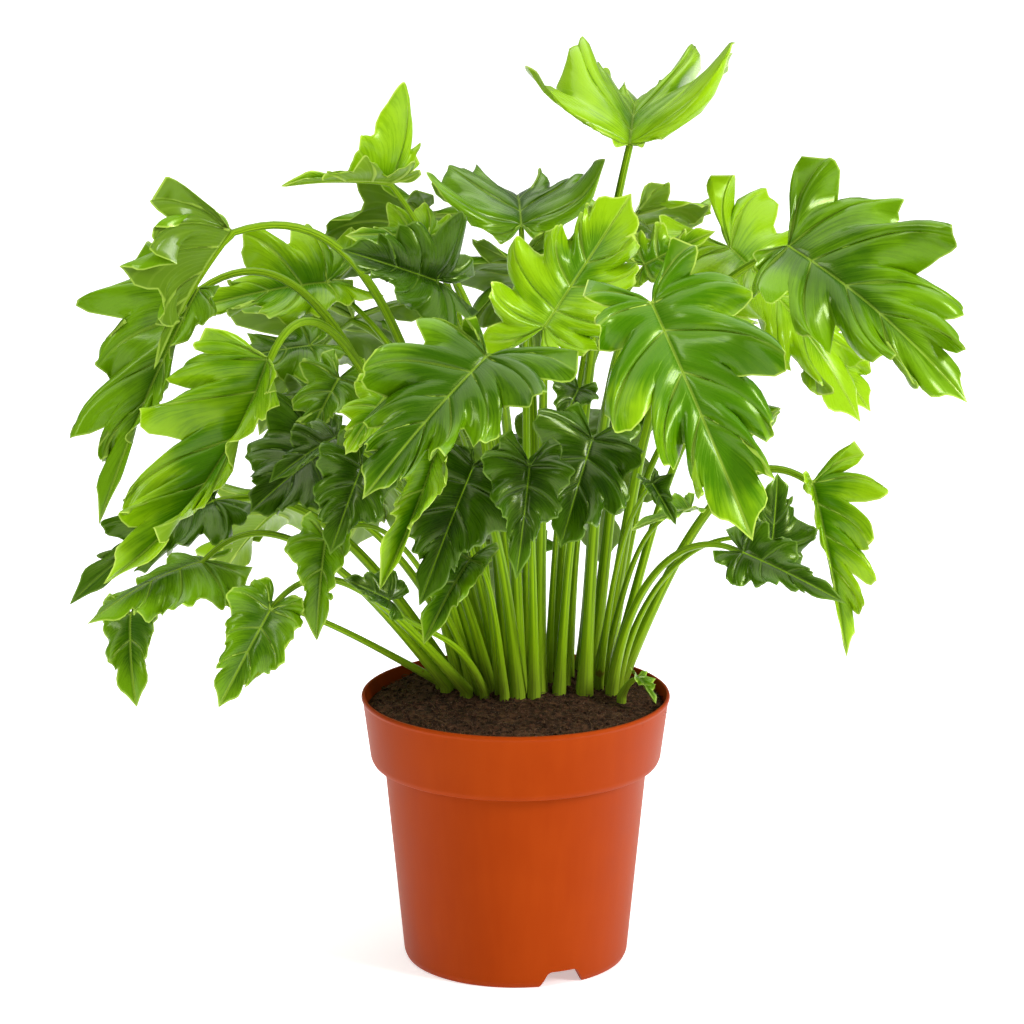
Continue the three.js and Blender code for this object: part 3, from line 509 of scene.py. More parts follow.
ground = plug.node("GeometryNodeJoinGeometry", {"Geometry": [plug, strewn]})
ground = painted(smoothed(ground, SOIL_CREASE_DEG), soil_in["Finish"])
both = plug.node("GeometryNodeJoinGeometry", {"Geometry": [ground, fibres]})
both = both.node("GeometryNodeRealizeInstances", {"Geometry": both})
both.node("NodeGroupOutput", {"Geometry": both})

peat_soil, place = new_finish("peat_soil")
patches = place.noise(260, 4, 0.65)
specks = place.noise(1400, 2).fade(0.62, 0.70)
colour = patches.fade(0.35, 0.72).colours(PEAT_DARK, PEAT)
colour = (specks * 0.8).colours(colour, PEAT_SPECK)
surface(colour, patches.fade(0.3, 0.7, 0.98, 0.86), place.noise(1800, 4, 0.7), 0.0005,
        Specular_IOR_Level=0.15)

coir, place = new_finish("coir_fibre")
colour = place.noise(90, 2).fade(0.3, 0.7).colours(COIR, COIR_DARK)
surface(colour, place.noise(500, 2).fade(0.3, 0.7, 0.7, 0.9), place.noise(3000, 2), 0.0001,
        Specular_IOR_Level=0.2)

soil = grow(
    outline_object("peat_soil", soil_outline()), soil_tree, sides=SOIL_SIDES,
    lumps=LUMP_HEIGHT, crumbs=CRUMBS_PER_SQUARE_METRE, crumb_size=CRUMB_RADIUS,
    fibres=FIBRES_PER_SQUARE_METRE, seed=SOIL_SEED, finish=peat_soil, fibre_finish=coir)
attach(soil, "root")
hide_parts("soil")

# Leaves: each is a lobed blade on a stalk of its own, grown as one piece. Side veins fan out from
# the midrib, each one ends in a rounded lobe, and the margin dips and ruffles between them. The
# blade is drawn out along its veins, and a geometry tree gives it ribs, grooves and its stalk.
EAR_OPENING_DEG = 12
EAR_ROUNDNESS = 0.7
SINUS_PLACE = 0.45
SINUS_WIDTH = 0.18
TIP_SINUS = 0.3
DRIP = 0.09
DRIP_START = 0.84
TIP_TURN = 1.8
FORWARD_HOOK_DEG = 16
LOBE_JITTER = 0.16
ANGLE_JITTER_DEG = 8
RIPPLE = 0.2
RIPPLE_SPREAD = 0.1
SECOND_RIPPLE = 0.6
EAR_BEND = 0.4
FRILL = 0.055
FRILLS_PER_LOBE = 2.3
FRILL_MOST_REACH = 0.4
SCALLOP = 0.024
SCALLOPS = (1.9, 3.7)
PUFF = 0.075
PUFF_SHARPNESS = 0.7
PUFF_FALL = 0.8
UNDULATION = 2.2
PLEATS = 0.7
BLADE_THICKNESS = 0.6
GROOVE_DEPTH = 0.4
RIB_HEIGHT = 0.6
VEIN_WIDTH = 1.5
MIDRIB_WIDTH = 2.2
CALM_WIDTH = 12.0
LEAF_CREASE_DEG = 60
EAR_COLUMNS = [0, 0.04, 0.12, 0.22, 0.34, 0.46, 0.58, 0.70, 0.82, 0.92, 0.97]
LOBE_COLUMNS = [
    0, 0.015, 0.04, 0.08, 0.14, 0.22, 0.31, 0.40, 0.50, 0.60, 0.69, 0.78, 0.86, 0.92, 0.96, 0.985]
BLADE_RINGS = np.array(
    [0, 0.02, 0.05, 0.10, 0.17, 0.26, 0.36, 0.47, 0.58, 0.69, 0.79, 0.87, 0.93, 0.97, 1])
STEM_RISE_ABOVE_SOIL = 3
STEM_LEAN = 0.5
STEM_LEAST_RISE = 0.3
STEM_FOOT_PULL = 0.42
STEM_NECK_PULL = 0.34
STEM_TAPER = 0.8
STEM_SEAT = 0.85
STEM_STEPS = 36
STEM_FOOT_DEPTH = 10
STEM_FLARE = 0.3
STEM_FLARE_LENGTH = 18
STEM_SIDES = 12
RIB_SEAT = 0.95
RIB_STEPS = [0.03, 0.06, 0.1, 0.18, 0.28, 0.4, 0.52, 0.64, 0.76, 0.86, 0.92]
RIB_TAPER = ([0, 0.1, 0.9, 1], [1, 0.6, 0.12, 0.05])
SPACE_INSET = 0.001
LEAST_LEAN = 0.3
SIDES_APART = 20
SKIN_WELD = 2e-7
DRAW_START, DRAW_STEP, DRAW_LIMIT = 7919, 16807, 2147483647

# The angle of each side vein to the midrib, where it leaves the midrib and how far it reaches, as
# shares of the blade's length. The last vein is the end lobe. Sinus is how deep the margin dips,
# and stem is the stalk's radius in millimetres at its foot and at the blade.
FORMS = {
    "full": {"veins": [150, 110, 78, 58, 42, 0], "roots": [0, 0, 0.12, 0.30, 0.48, 0.62],
             "reach": [0.30, 0.38, 0.41, 0.37, 0.27], "sinus": 0.34, "stem": (3.7, 2.0)},
    "cut": {"veins": [150, 110, 78, 58, 42, 0], "roots": [0, 0, 0.12, 0.30, 0.48, 0.62],
            "reach": [0.36, 0.50, 0.56, 0.52, 0.38], "sinus": 0.52, "stem": (3.7, 2.0)},
    "half": {"veins": [146, 98, 66, 44, 0], "roots": [0, 0, 0.18, 0.42, 0.60],
             "reach": [0.32, 0.41, 0.40, 0.28], "sinus": 0.3, "stem": (2.9, 1.5)},
    "young": {"veins": [140, 84, 50, 0], "roots": [0, 0, 0.28, 0.56],
              "reach": [0.28, 0.36, 0.26], "sinus": 0.20, "stem": (2.1, 1.1)},
}


def draws(seed):
    """Numbers from 0 to 1, the same every time for one seed."""
    state = seed * DRAW_START % DRAW_LIMIT
    while True:
        state = state * DRAW_STEP % DRAW_LIMIT
        yield state / DRAW_LIMIT


def vein_at(q, veins, roots, reach, sinus):
    """Root, angle and reach of a line of the blade: q counts the lobes from neck to end lobe."""
    if q < 0:
        share = (q + 0.5) / 0.5
        angle = veins[0] + EAR_OPENING_DEG * (1 - share)
        return 0, angle, reach[0] * math.sin(share * math.pi / 2) ** EAR_ROUNDNESS
    last = len(veins) - 1
    lobe = min(math.floor(q), last - 1)
    share = q - lobe
    dip = math.exp(-((share - SINUS_PLACE) / SINUS_WIDTH) ** 2)
    steps = range(last + 1)
    root = np.interp(q, steps, roots)
    if lobe == last - 1:
        drip = DRIP * (max(0, share - DRIP_START) / (1 - DRIP_START)) ** 2
        full = reach[lobe] + (reach[last] - reach[lobe]) * share ** 3
        angle = veins[lobe] * math.cos(math.pi / 2 * share ** TIP_TURN)
        return root, angle, full * (1 - TIP_SINUS * dip) + drip
    return root, np.interp(q, steps, veins), np.interp(q, steps, reach) * (1 - sinus * dip)


def blade_line(q, side):
    """One line of the flat blade, from the midrib out to the margin."""
    root, angle, reach = vein_at(q, side["veins"], side["roots"], side["reach"], side["sinus"])
    t = BLADE_RINGS
    calm = min(1, side["lobes"] - q)
    hook = 0 if q < 0 else FORWARD_HOOK_DEG * calm
    turn = np.radians(angle - hook * t ** 2)
    wave = math.sin(math.pi * q + side["phase"]) + SECOND_RIPPLE * math.cos(2 * math.pi * q)
    frill = FRILL * math.sin(2 * math.pi * FRILLS_PER_LOBE * q + 3 * side["phase"])
    puff = PUFF * math.sin(math.pi * (q % 1)) ** PUFF_SHARPNESS * (4 * t * (1 - t)) ** PUFF_FALL
    rise = side["height"] * wave * (0.5 + 0.5 * min(1, q + 0.5)) * t ** 2
    h = calm * (reach * (rise + puff) + min(reach, FRILL_MOST_REACH) * frill * t ** 4)
    scallop = sum(
        math.sin(2 * math.pi * count * q + 5 * side["phase"]) - 1 for count in SCALLOPS)
    reach = reach * (1 + SCALLOP * calm * scallop * min(1, max(0, 4 * q)) * t ** 2)
    return np.stack([side["sign"] * reach * t * np.sin(turn), root + reach * t * np.cos(turn), h])


def blade_sides(form, seed, width, spread, left, right, sinus):
    """Each side of a blade has waves and lobes of its own."""
    plan = FORMS[form]
    lobes = len(plan["reach"])
    random = draws(seed)
    phases = [2 * math.pi * next(random) for _ in range(2)]
    heights = [RIPPLE * (1 + RIPPLE_SPREAD * (2 * next(random) - 1)) for _ in range(2)]
    sides = []
    for i, listed in enumerate((left, right)):
        reach = listed or [value * width for value in plan["reach"]]
        reach = [value * (1 + LOBE_JITTER * (2 * next(random) - 1)) for value in reach]
        veins = [value * spread + ANGLE_JITTER_DEG * (2 * next(random) - 1)
                 for value in plan["veins"][:lobes]]
        sides.append({
            "sign": 2 * i - 1, "lobes": lobes, "roots": plan["roots"], "veins": veins + [0],
            "reach": reach + [1 - plan["roots"][lobes] - DRIP],
            "sinus": sinus[i] if sinus else plan["sinus"],
            "phase": phases[i], "height": heights[i]})
    return sides


def bend(points, arch, fold):
    """Folds a flat blade up about its midrib, then bends the midrib down along its length."""
    x, y, h = points
    raised = h + np.abs(x) * math.sin(fold)
    along = np.where(y < 0, y * EAR_BEND, y)
    turn = arch * along
    reach = np.sin(turn) / arch + (y - along) * np.cos(turn)
    drop = -(1 - np.cos(turn)) / arch - (y - along) * np.sin(turn)
    return np.stack([
        x * math.cos(fold), reach + raised * np.sin(turn), drop + raised * np.cos(turn)])


def leaf_frame(neck, tip, face, arch, fold):
    """Blade length in millimetres, and what puts blade points in place in the plant."""
    neck, face = np.array(neck, float), np.array(face, float)
    chord = np.array(tip, float) - neck
    end = bend(np.array([[0], [1], [0]]), arch, fold)[:, 0]
    size = np.linalg.norm(chord) / math.hypot(end[1], end[2])
    forward = unit(chord)
    face = unit(face - forward * face.dot(forward))
    pitch = math.atan2(end[2], end[1])
    length = forward * math.cos(pitch) - face * math.sin(pitch)
    up = forward * math.sin(pitch) + face * math.cos(pitch)
    axes = np.stack([np.cross(length, up), length, up]) * size

    def placed(points):
        return neck + bend(np.asarray(points, float), arch, fold).T @ axes

    return size, placed


def blade_mesh(sides, size):
    """The sheet of a blade: flat points, what each carries, and the faces between them."""
    lobes = sides[0]["lobes"]
    columns = [-0.5 + 0.5 * share for share in EAR_COLUMNS]
    columns += [lobe + share for lobe in range(lobes) for share in LOBE_COLUMNS] + [lobes]
    rings = len(BLADE_RINGS)
    points, faces = [], []
    carries = {key: [] for key in ("rib", "midrib", "edge", "fan", "share")}
    for side in sides:
        first = sum(len(line) for line in points)
        lines = [blade_line(q, side).T for q in columns]
        nearest = [blade_line(max(0, round(q)), side).T for q in columns]
        margin = np.gradient(np.array([line[-1] for line in lines]), axis=0)
        for i, q in enumerate(columns):
            line = lines[i]
            points.append(line)
            outward = line[-1] - line[-2]
            lean = np.linalg.norm(np.cross(unit(outward + 1e-9), unit(margin[i] + 1e-9)))
            flat = np.linalg.norm(line[:, :2], axis=1)
            carries["rib"].append(np.linalg.norm(line - nearest[i], axis=1) * size)
            carries["midrib"].append(np.where(line[:, 1] < 0, flat, np.abs(line[:, 0])) * size)
            to_edge = np.linalg.norm(line - line[-1], axis=1) * size
            carries["edge"].append(to_edge * max(LEAST_LEAN, lean))
            carries["fan"].append(np.full(rings, q + SIDES_APART * side["sign"]))
            carries["share"].append(BLADE_RINGS)
            for j in range(rings - 1) if i else ():
                a = first + (i - 1) * rings + j
                face = [a, a + 1, a + 1 + rings, a + rings]
                faces.append(face if side["sign"] > 0 else face[::-1])
    points = np.concatenate(points)
    flat = np.round(points[:, :2], 6)
    kept, same = np.unique(flat, axis=0, return_index=True, return_inverse=True)[1:]
    same = same.ravel()
    whole = []
    for face in faces:
        corners = list(dict.fromkeys(int(same[corner]) for corner in face))
        if len(corners) > 2:
            whole.append(corners)
    carries = {key: np.concatenate(values)[kept] for key, values in carries.items()}
    return points[kept], carries, whole


def stalk_path(foot, placed, stem, rise, lean, size):
    """The stalk's line and its radius, from under the soil to the blade and on below the midrib."""
    foot_radius, end_radius = stem
    ground = SOIL_TOP_Z + soil_rise(foot[0] / RIM_RADIUS, foot[1] / RIM_RADIUS)
    start = np.array([*foot, ground + STEM_RISE_ABOVE_SOIL])
    root = start - [0, 0, STEM_RISE_ABOVE_SOIL + STEM_FOOT_DEPTH]
    neck = placed([[0], [0], [-end_radius * STEM_SEAT / size]])[0]
    run = neck - start
    flat = run * [1, 1, 0]
    arrive = unit(flat) * math.cos(rise) + [0, 0, math.sin(rise)]
    leave = unit(flat * lean + [0, 0, max(run[2], STEM_LEAST_RISE * np.linalg.norm(flat))])
    length = np.linalg.norm(run)
    pulls = [start, start + leave * length * STEM_FOOT_PULL,
             neck - arrive * length * STEM_NECK_PULL, neck]
    t = np.linspace(0, 1, STEM_STEPS + 1)[:, None]
    arc = sum(weight * pull for weight, pull in zip(
        [(1 - t) ** 3, 3 * (1 - t) ** 2 * t, 3 * (1 - t) * t ** 2, t ** 3], pulls))
    taper = t[:, 0] ** STEM_TAPER
    girth = foot_radius + (end_radius - foot_radius) * taper
    girth = girth * (1 + STEM_FLARE * np.exp(-t[:, 0] * length / STEM_FLARE_LENGTH))
    y = np.array(RIB_STEPS)
    rib_girth = end_radius * np.interp(y, *RIB_TAPER)
    rib = placed(np.stack([0 * y, y, -rib_girth * RIB_SEAT / size]))
    path = np.concatenate([[root], arc, rib])
    return path, np.concatenate([[girth[0]], girth, rib_girth])


leaf_tree, leaf_in = new_tree("leaf on its stalk", {
    "Undulation": "Float", "Pleats": "Float", "Thickness": "Float", "Groove": "Float",
    "Rib": "Float", "Stalk Sides": "Int", "Finish": "Material", "Stalk Finish": "Material"})
whole = leaf_in["Geometry"]


def held(attribute):
    """What the drawn points carry under a name, inside the leaf tree."""
    return whole.node(
        "GeometryNodeInputNamedAttribute", {"Name": attribute}, "Attribute", data_type="FLOAT")


girth = held("girth")
parts = {"Geometry": whole, "Selection": whole.maths("GREATER_THAN", girth, 0.0)}
line = whole.node("GeometryNodeSeparateGeometry", parts, 0, domain="POINT")
sheet = whole.node("GeometryNodeSeparateGeometry", parts, 1, domain="POINT")
outward = whole.node("GeometryNodeInputNormal", {})
spot = whole.node("GeometryNodeInputPosition", {})
calm = held("midrib").fade(0.0, CALM_WIDTH)
roll = (spot.noise(24, 1) - 0.5) * 4 * leaf_in["Undulation"]
pleat = (whole.vector(held("fan") * 3.4, held("share") * 0.8, 0.0).noise(1, 1) - 0.5) * 4
sway = (roll + pleat * held("share") * leaf_in["Pleats"]) * calm
sheet = whole.node("GeometryNodeSetPosition", {
    "Geometry": sheet, "Offset": outward.scaled(sway)})
within = whole.node("ShaderNodeVectorMath", {
    0: spot, 1: tuple(value + SPACE_INSET for value in cad_box[0])}, operation="MAXIMUM")
within = whole.node("ShaderNodeVectorMath", {
    0: within, 1: tuple(value - SPACE_INSET for value in cad_box[1])}, operation="MINIMUM")
sheet = whole.node("GeometryNodeSetPosition", {"Geometry": sheet, "Position": within})
rim = whole.maths("MINIMUM", held("edge") * 0.8, 1.0)
vein = held("rib").fade(0.0, VEIN_WIDTH, 1.0, 0.0) * held("share").fade(0.3, 1.0, 1.0, 0.3)
vein = whole.maths("MAXIMUM", vein, held("midrib").fade(0.0, MIDRIB_WIDTH, 1.0, 0.0)) * rim
half = leaf_in["Thickness"] * 0.5 * rim
upper = half - leaf_in["Groove"] * vein
lower = -1 * half - leaf_in["Rib"] * vein
skins = []
for under, push in ((0.0, upper), (1.0, lower)):
    skin = whole.node("GeometryNodeSetPosition", {
        "Geometry": sheet, "Offset": outward.scaled(push)})
    if under:
        skin = whole.node("GeometryNodeFlipFaces", {"Mesh": skin})
    skins.append(whole.node("GeometryNodeStoreNamedAttribute", {
        "Geometry": skin, "Name": "under", "Value": under}, domain="FACE"))
blade = whole.node("GeometryNodeJoinGeometry", {"Geometry": skins})
blade = whole.node("GeometryNodeMergeByDistance", {"Geometry": blade, "Distance": SKIN_WELD})
blade = painted(blade, leaf_in["Finish"])

line = whole.node("GeometryNodeMeshToCurve", {"Mesh": line})
along = whole.node("GeometryNodeSplineParameter", {}, "Length")
line = whole.node("GeometryNodeStoreNamedAttribute", {
    "Geometry": line, "Name": "along", "Value": along})
section = whole.node("GeometryNodeCurvePrimitiveCircle", {
    "Resolution": leaf_in["Stalk Sides"], "Radius": 1.0})
for letter in "XY":
    section = whole.node("GeometryNodeStoreNamedAttribute", {
        "Geometry": section, "Name": "round_" + letter.lower(), "Value": spot.axis(letter)})
stalk = whole.node("GeometryNodeCurveToMesh", {
    "Curve": line, "Profile Curve": section, "Scale": girth, "Fill Caps": True})
stalk = painted(stalk, leaf_in["Stalk Finish"])
both = whole.node("GeometryNodeJoinGeometry", {"Geometry": [blade, stalk]})
both = whole.node("GeometryNodeRealizeInstances", {
    "Geometry": smoothed(both, LEAF_CREASE_DEG)})
both.node("NodeGroupOutput", {"Geometry": both})


def leaf_finish(name, upper, deep, vein_colour, under_colour):
    """Waxy leaf skin: its veins and fine lines run out from the midrib, duller and paler below."""
    finish, place = new_finish(name)
    fan, share, rib, midrib, edge, under, tone = [place.carried(key) for key in (
        "fan", "share", "rib", "midrib", "edge", "under", "tone")]
    patches = place.noise(26, 3)
    streaks = place.vector(fan * 22, share * 1.8, 0.0).noise(1, 4, 0.6)
    fine = place.maths("SINE", fan * 44 + patches * 14).fade(0.5, 1.0)
    vein = rib.fade(0.25, 1.1, 1.0, 0.0) * share.fade(0.5, 1.0, 1.0, 0.35)
    vein = place.maths("MAXIMUM", vein, midrib.fade(0.4, 1.1, 1.0, 0.0))
    near = rib.fade(0.5, 6.0, 1.0, 0.0)
    margin = edge.fade(0.45, 1.15, 1.0, 0.0)
    mottle = patches * 0.68 + streaks * 0.32 + tone * 0.2 + (share - 0.55) * 0.32
    top = mottle.fade(0.33, 0.67).colours(deep, upper)
    top = (near * 0.10 + fine * 0.03).colours(top, upper)
    top = (vein * 0.4).colours(top, vein_colour)
    below = (vein * 0.6 + fine * 0.1).colours(under_colour, vein_colour)
    colour = (margin * 0.8).colours(under.colours(top, below), vein_colour)
    roughness = under * 0.25 + streaks.fade(0.3, 0.7, 0.22, 0.36)
    surface(colour, roughness, streaks * 0.35 + fine * 0.07 - vein * 0.6, 0.0004,
            Specular_IOR_Level=0.4, Specular_Tint=(0.7, 1, 0.12, 1), Coat_Weight=0.24,
            Coat_Roughness=0.16)
    return finish


# The three leaf finishes are copies of one leaf skin. They are partly the leaves' own colour and
# partly painted light. The lime also paints light shining through the upper leaves, as well as their
# fresh colour. The dark also paints the shade inside the clump, as well as the leaves' own deeper
# green.
LEAF_COLOURS = {
    "leaf_lime": ((0.25, 0.46, 0.003, 1), (0.050, 0.165, 0.0004, 1), (0.46, 0.62, 0.09, 1),
                  (0.16, 0.30, 0.008, 1)),
    "leaf_green": ((0.120, 0.27, 0.001, 1), (0.024, 0.084, 0.0003, 1), (0.34, 0.50, 0.06, 1),
                   (0.10, 0.20, 0.006, 1)),
    "leaf_dark": ((0.038, 0.105, 0.0006, 1), (0.008, 0.033, 0.0002, 1), (0.13, 0.24, 0.025, 1),
                  (0.055, 0.12, 0.004, 1)),
}
LEAF_FINISHES = {name: leaf_finish(name, *colours) for name, colours in LEAF_COLOURS.items()}

STALK_DEEP = (0.055, 0.145, 0.001, 1)
STALK_PALE = (0.26, 0.45, 0.006, 1)
STALK_FOOT = (0.36, 0.46, 0.05, 1)
STALK_RUST = (0.16, 0.07, 0.012, 1)
FOOT_HEIGHTS = (0.146, 0.185)
RUST_HEIGHTS = (0.16, 0.30)

stalk_green, place = new_finish("stalk_green")
lines = place.vector(
    place.carried("round_x") * 3.2, place.carried("round_y") * 3.2, place.carried("along") * 9)
lines = lines.noise(1, 3, 0.6)
height = place.axis("Z")
colour = lines.fade(0.32, 0.68).colours(STALK_DEEP, STALK_PALE)
colour = height.fade(*FOOT_HEIGHTS, 0.35, 0.0).colours(colour, STALK_FOOT)
rust = place.noise(55, 4, 0.6).fade(0.70, 0.74) * height.fade(*RUST_HEIGHTS, 0.7, 0.0)
colour = rust.colours(colour, STALK_RUST)
surface(colour, lines.fade(0.3, 0.7, 0.34, 0.44), lines, 0.00025, Specular_IOR_Level=0.4,
        Specular_Tint=(0.8, 1, 0.15, 1))


def leaf(name, form, shade, neck, tip, face, foot, rise, arch, fold, seed,
         width=1, spread=1, left=None, right=None, sinus=None, lean=STEM_LEAN, tone=0):
    """One leaf. Its neck is where the stalk meets the blade, its tip the blade's far end, its face
    the way its upper side looks, and its foot where the stalk leaves the soil."""
    colour = "leaf_" + shade
    size, placed = leaf_frame(neck, tip, face, math.radians(arch), math.radians(fold))
    sides = blade_sides(form, seed, width, spread, left, right, sinus)
    sheet, carries, faces = blade_mesh(sides, size)
    path, girth = stalk_path(foot, placed, FORMS[form]["stem"], math.radians(rise), lean, size)
    count = len(sheet)
    edges = [(count + i, count + i + 1) for i in range(len(path) - 1)]
    carries = {key: [*values, *(0 * girth)] for key, values in carries.items()}
    carries["girth"] = [*np.zeros(count), *(girth * MM)]
    carries["tone"] = np.full(count + len(girth), tone)
    drawn = mesh_object(
        "philodendron_" + name, np.concatenate([placed(sheet.T), path]), edges, faces, carries)
    made = grow(
        drawn, leaf_tree, undulation=UNDULATION * MM, pleats=PLEATS * MM,
        thickness=BLADE_THICKNESS * MM, groove=GROOVE_DEPTH * MM, rib=RIB_HEIGHT * MM,
        stalk_sides=STEM_SIDES, finish=LEAF_FINISHES[colour], stalk_finish=stalk_green)
    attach(made, "root")
    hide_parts("leaf_" + name)


# Crown
leaf("crown_right", "cut", "lime", [61, 10, 453], [68, 100, 462], [0.05, -0.25, 1], [28, 34],
     rise=75, arch=50, fold=32, seed=1, spread=0.84, left=[0.12, 0.66, 0.6, 0.4, 0.24],
     right=[0.12, 0.68, 0.76, 0.74, 0.5], sinus=[0.15, 0.4], tone=0.6)
leaf("crown_left", "half", "lime", [-66, -20, 437], [-123, -50, 440], [0, -0.5, 0.9], [-4, 23],
     rise=50, arch=15, fold=62, seed=2, left=[0.2, 0.36, 0.4, 0.26], right=[0.25, 0.85, 0.24, 0.18])
leaf("top_middle", "half", "green", [3, 10, 409], [0, 72, 412], [0, -0.4, 0.9], [6, 32], rise=70,
     arch=60, fold=20, seed=15, left=[0.3, 1.0, 0.95, 0.5], right=[0.25, 0.75, 0.8, 0.4],
     sinus=[0.12, 0.2])
leaf("top_back_left", "half", "lime", [-48, 55, 394], [-94, 60, 394], [-0.1, -0.7, 0.6], [-4, 44],
     rise=50, arch=20, fold=10, seed=19)
leaf("top_back_right", "half", "lime", [70, 16, 386], [108, 18, 404], [0.1, -0.7, 0.7], [20, 44],
     rise=50, arch=10, fold=20, seed=23, width=1.1)

# Left side, high to low
leaf("left_high", "full", "green", [-151, -25, 412], [-192, -40, 340], [-0.84, 0.1, 0.54],
     [-14, 27], rise=-15, arch=15, fold=55, seed=3, spread=0.62, left=[0.42, 0.56, 0.52, 0.42, 0.3],
     right=[0.2, 0.3, 0.3, 0.25, 0.2], sinus=[0.18, 0.3], tone=0.5)
leaf("left_large", "full", "green", [-172, 20, 372], [-227, 0, 245], [-0.5, -0.75, 0.4], [-22, 35],
     rise=-35, arch=15, fold=20, seed=4, spread=0.7, left=[0.15, 0.18, 0.18, 0.18, 0.16],
     right=[0.3, 0.4, 0.43, 0.43, 0.34], tone=0.7)
leaf("left_bright", "full", "lime", [-129, -80, 354], [-213, -125, 245], [-0.54, -0.77, 0.32],
     [-18, 14], rise=-60, arch=-62, fold=38, seed=5, spread=0.68, left=[0.2, 0.25, 0.25, 0.28, 0.3],
     right=[0.2, 0.38, 0.44, 0.46, 0.36], sinus=[0.2, 0.4])
leaf("left_behind", "half", "lime", [-105, 80, 364], [-180, 60, 352], [-0.2, -0.7, 0.65], [-14, 43],
     rise=30, arch=20, fold=20, seed=16, width=1.2)
leaf("left_behind_low", "half", "green", [-113, 42, 336], [-181, 24, 322], [-0.2, -0.5, 0.8],
     [-26, 41], rise=0, arch=20, fold=0, seed=17, width=0.9)
leaf("left_shade", "half", "dark", [-42, -50, 390], [-91, -75, 411], [-0.1, -0.85, 0.5], [2, 13],
     rise=50, arch=10, fold=25, seed=18, width=1.3)
leaf("left_front_bright", "half", "lime", [-68, -95, 337], [-88, -110, 310], [-0.3, -0.8, 0.4],
     [-9, 13], rise=30, arch=20, fold=10, seed=31, width=1.4)
leaf("left_inner", "half", "green", [-95, -17, 330], [-114, -35, 295], [-0.4, -0.8, 0.3], [-22, 19],
     rise=10, arch=10, fold=10, seed=35, width=1.3)
leaf("left_inner_back", "half", "dark", [-103, 16, 316], [-145, 6, 312], [-0.3, 0.6, 0.8],
     [-29, 27], rise=10, arch=10, fold=-10, seed=36, width=1.2)
leaf("left_round", "half", "dark", [-102, -30, 294], [-141, -60, 267], [-0.3, -0.85, 0.4],
     [-31, 16], rise=0, arch=20, fold=0, seed=32, width=1.6, sinus=[0.18, 0.18])
leaf("left_pointed", "half", "dark", [-95, -70, 310], [-129, -90, 290], [-0.2, -0.6, 0.8], [-24, 8],
     rise=20, arch=20, fold=10, seed=33, width=0.9)
leaf("left_front_dark", "half", "dark", [-80, -105, 302], [-96, -120, 259], [-0.1, -0.9, 0.4],
     [-14, 6], rise=20, arch=20, fold=10, seed=12, width=1.3, sinus=[0.2, 0.2])
leaf("left_low_dark", "full", "dark", [-163, -22, 264], [-241, -30, 208], [-0.4, -0.7, 0.5],
     [-36, 25], rise=-10, arch=35, fold=10, seed=6, spread=0.8, width=0.85, tone=0.3)
leaf("left_low", "half", "green", [-165, -86, 247], [-223, -116, 221], [-0.2, -0.35, 0.9], [-38, 9],
     rise=-40, arch=30, fold=-30, seed=7, width=1.1, tone=0.3)
leaf("left_low_heart", "young", "green", [-206, -52, 209], [-202, -72, 163], [-0.3, -0.9, 0.2],
     [-42, 17], rise=-20, arch=30, fold=10, seed=8, left=[0.3, 0.38, 0.36], right=[0.3, 0.38, 0.36],
     sinus=[0.06, 0.06])
leaf("low_left", "half", "green", [-128, -110, 227], [-155, -120, 177], [0, -0.9, 0.3], [-27, -3],
     rise=-40, arch=20, fold=8, seed=9, left=[0.28, 0.34, 0.38, 0.34],
     right=[0.28, 0.36, 0.36, 0.34], sinus=[0.12, 0.12], tone=0.1)
leaf("low_left_narrow", "young", "green", [-99, -100, 262], [-104, -105, 209], [-0.3, -0.9, 0.3],
     [-20, 1], rise=-20, arch=20, fold=25, seed=10, width=1.1, sinus=[0.14, 0.14])
leaf("low_left_dark", "young", "dark", [-66, -122, 236], [-89, -130, 249], [0, -0.6, 0.8],
     [-17, -8], rise=40, arch=10, fold=15, seed=11, width=1.6, sinus=[0.08, 0.08])

# Middle
leaf("middle_large", "full", "green", [-15, -140, 368], [-77, -178, 303], [-0.1, -0.8, 0.55],
     [2, 2], rise=5, arch=22, fold=5, seed=13, spread=0.86, lean=0.3,
     left=[0.44, 0.48, 0.5, 0.46, 0.34], right=[0.2, 0.46, 0.53, 0.48, 0.35], tone=-0.5)
leaf("middle_bright", "full", "lime", [15, -58, 367], [61, -30, 433], [0, -0.95, 0.3], [13, 3],
     rise=80, arch=-10, fold=8, seed=14, left=[0.37, 0.47, 0.51, 0.46, 0.34],
     right=[0.2, 0.34, 0.5, 0.46, 0.34], tone=0.3)
leaf("front_dark_left", "full", "dark", [-22, -103, 302], [-50, -124, 233], [-0.2, -0.92, 0.35],
     [1, -7], rise=40, arch=15, fold=6, seed=27, left=[0.3, 0.4, 0.43, 0.39, 0.28],
     right=[0.12, 0.36, 0.43, 0.39, 0.28], sinus=[0.2, 0.2])
leaf("front_dark_middle", "half", "dark", [7, -127, 308], [0, -147, 253], [0.1, -0.95, 0.2],
     [10, -7], rise=40, arch=20, fold=10, seed=28, width=1.05, sinus=[0.2, 0.2])
leaf("front_dark_right", "half", "dark", [40, -80, 311], [23, -105, 259], [0, -0.85, 0.5], [24, 0],
     rise=40, arch=25, fold=10, seed=29, width=1.35, sinus=[0.22, 0.22])
leaf("front_strip", "young", "lime", [-40, -132, 318], [-70, -138, 245], [-0.4, -0.85, 0.3],
     [-9, -1], rise=-30, arch=-20, fold=50, seed=34)
leaf("front_small", "young", "green", [-24, -95, 250], [-48, -116, 210], [-0.3, -0.8, 0.5],
     [-6, -12], rise=10, arch=25, fold=25, seed=30, width=1.2)
leaf("inner_small", "young", "dark", [33, -40, 329], [24, -56, 312], [0, -0.7, 0.7], [18, 23],
     rise=50, arch=20, fold=10, seed=41, width=1.6)

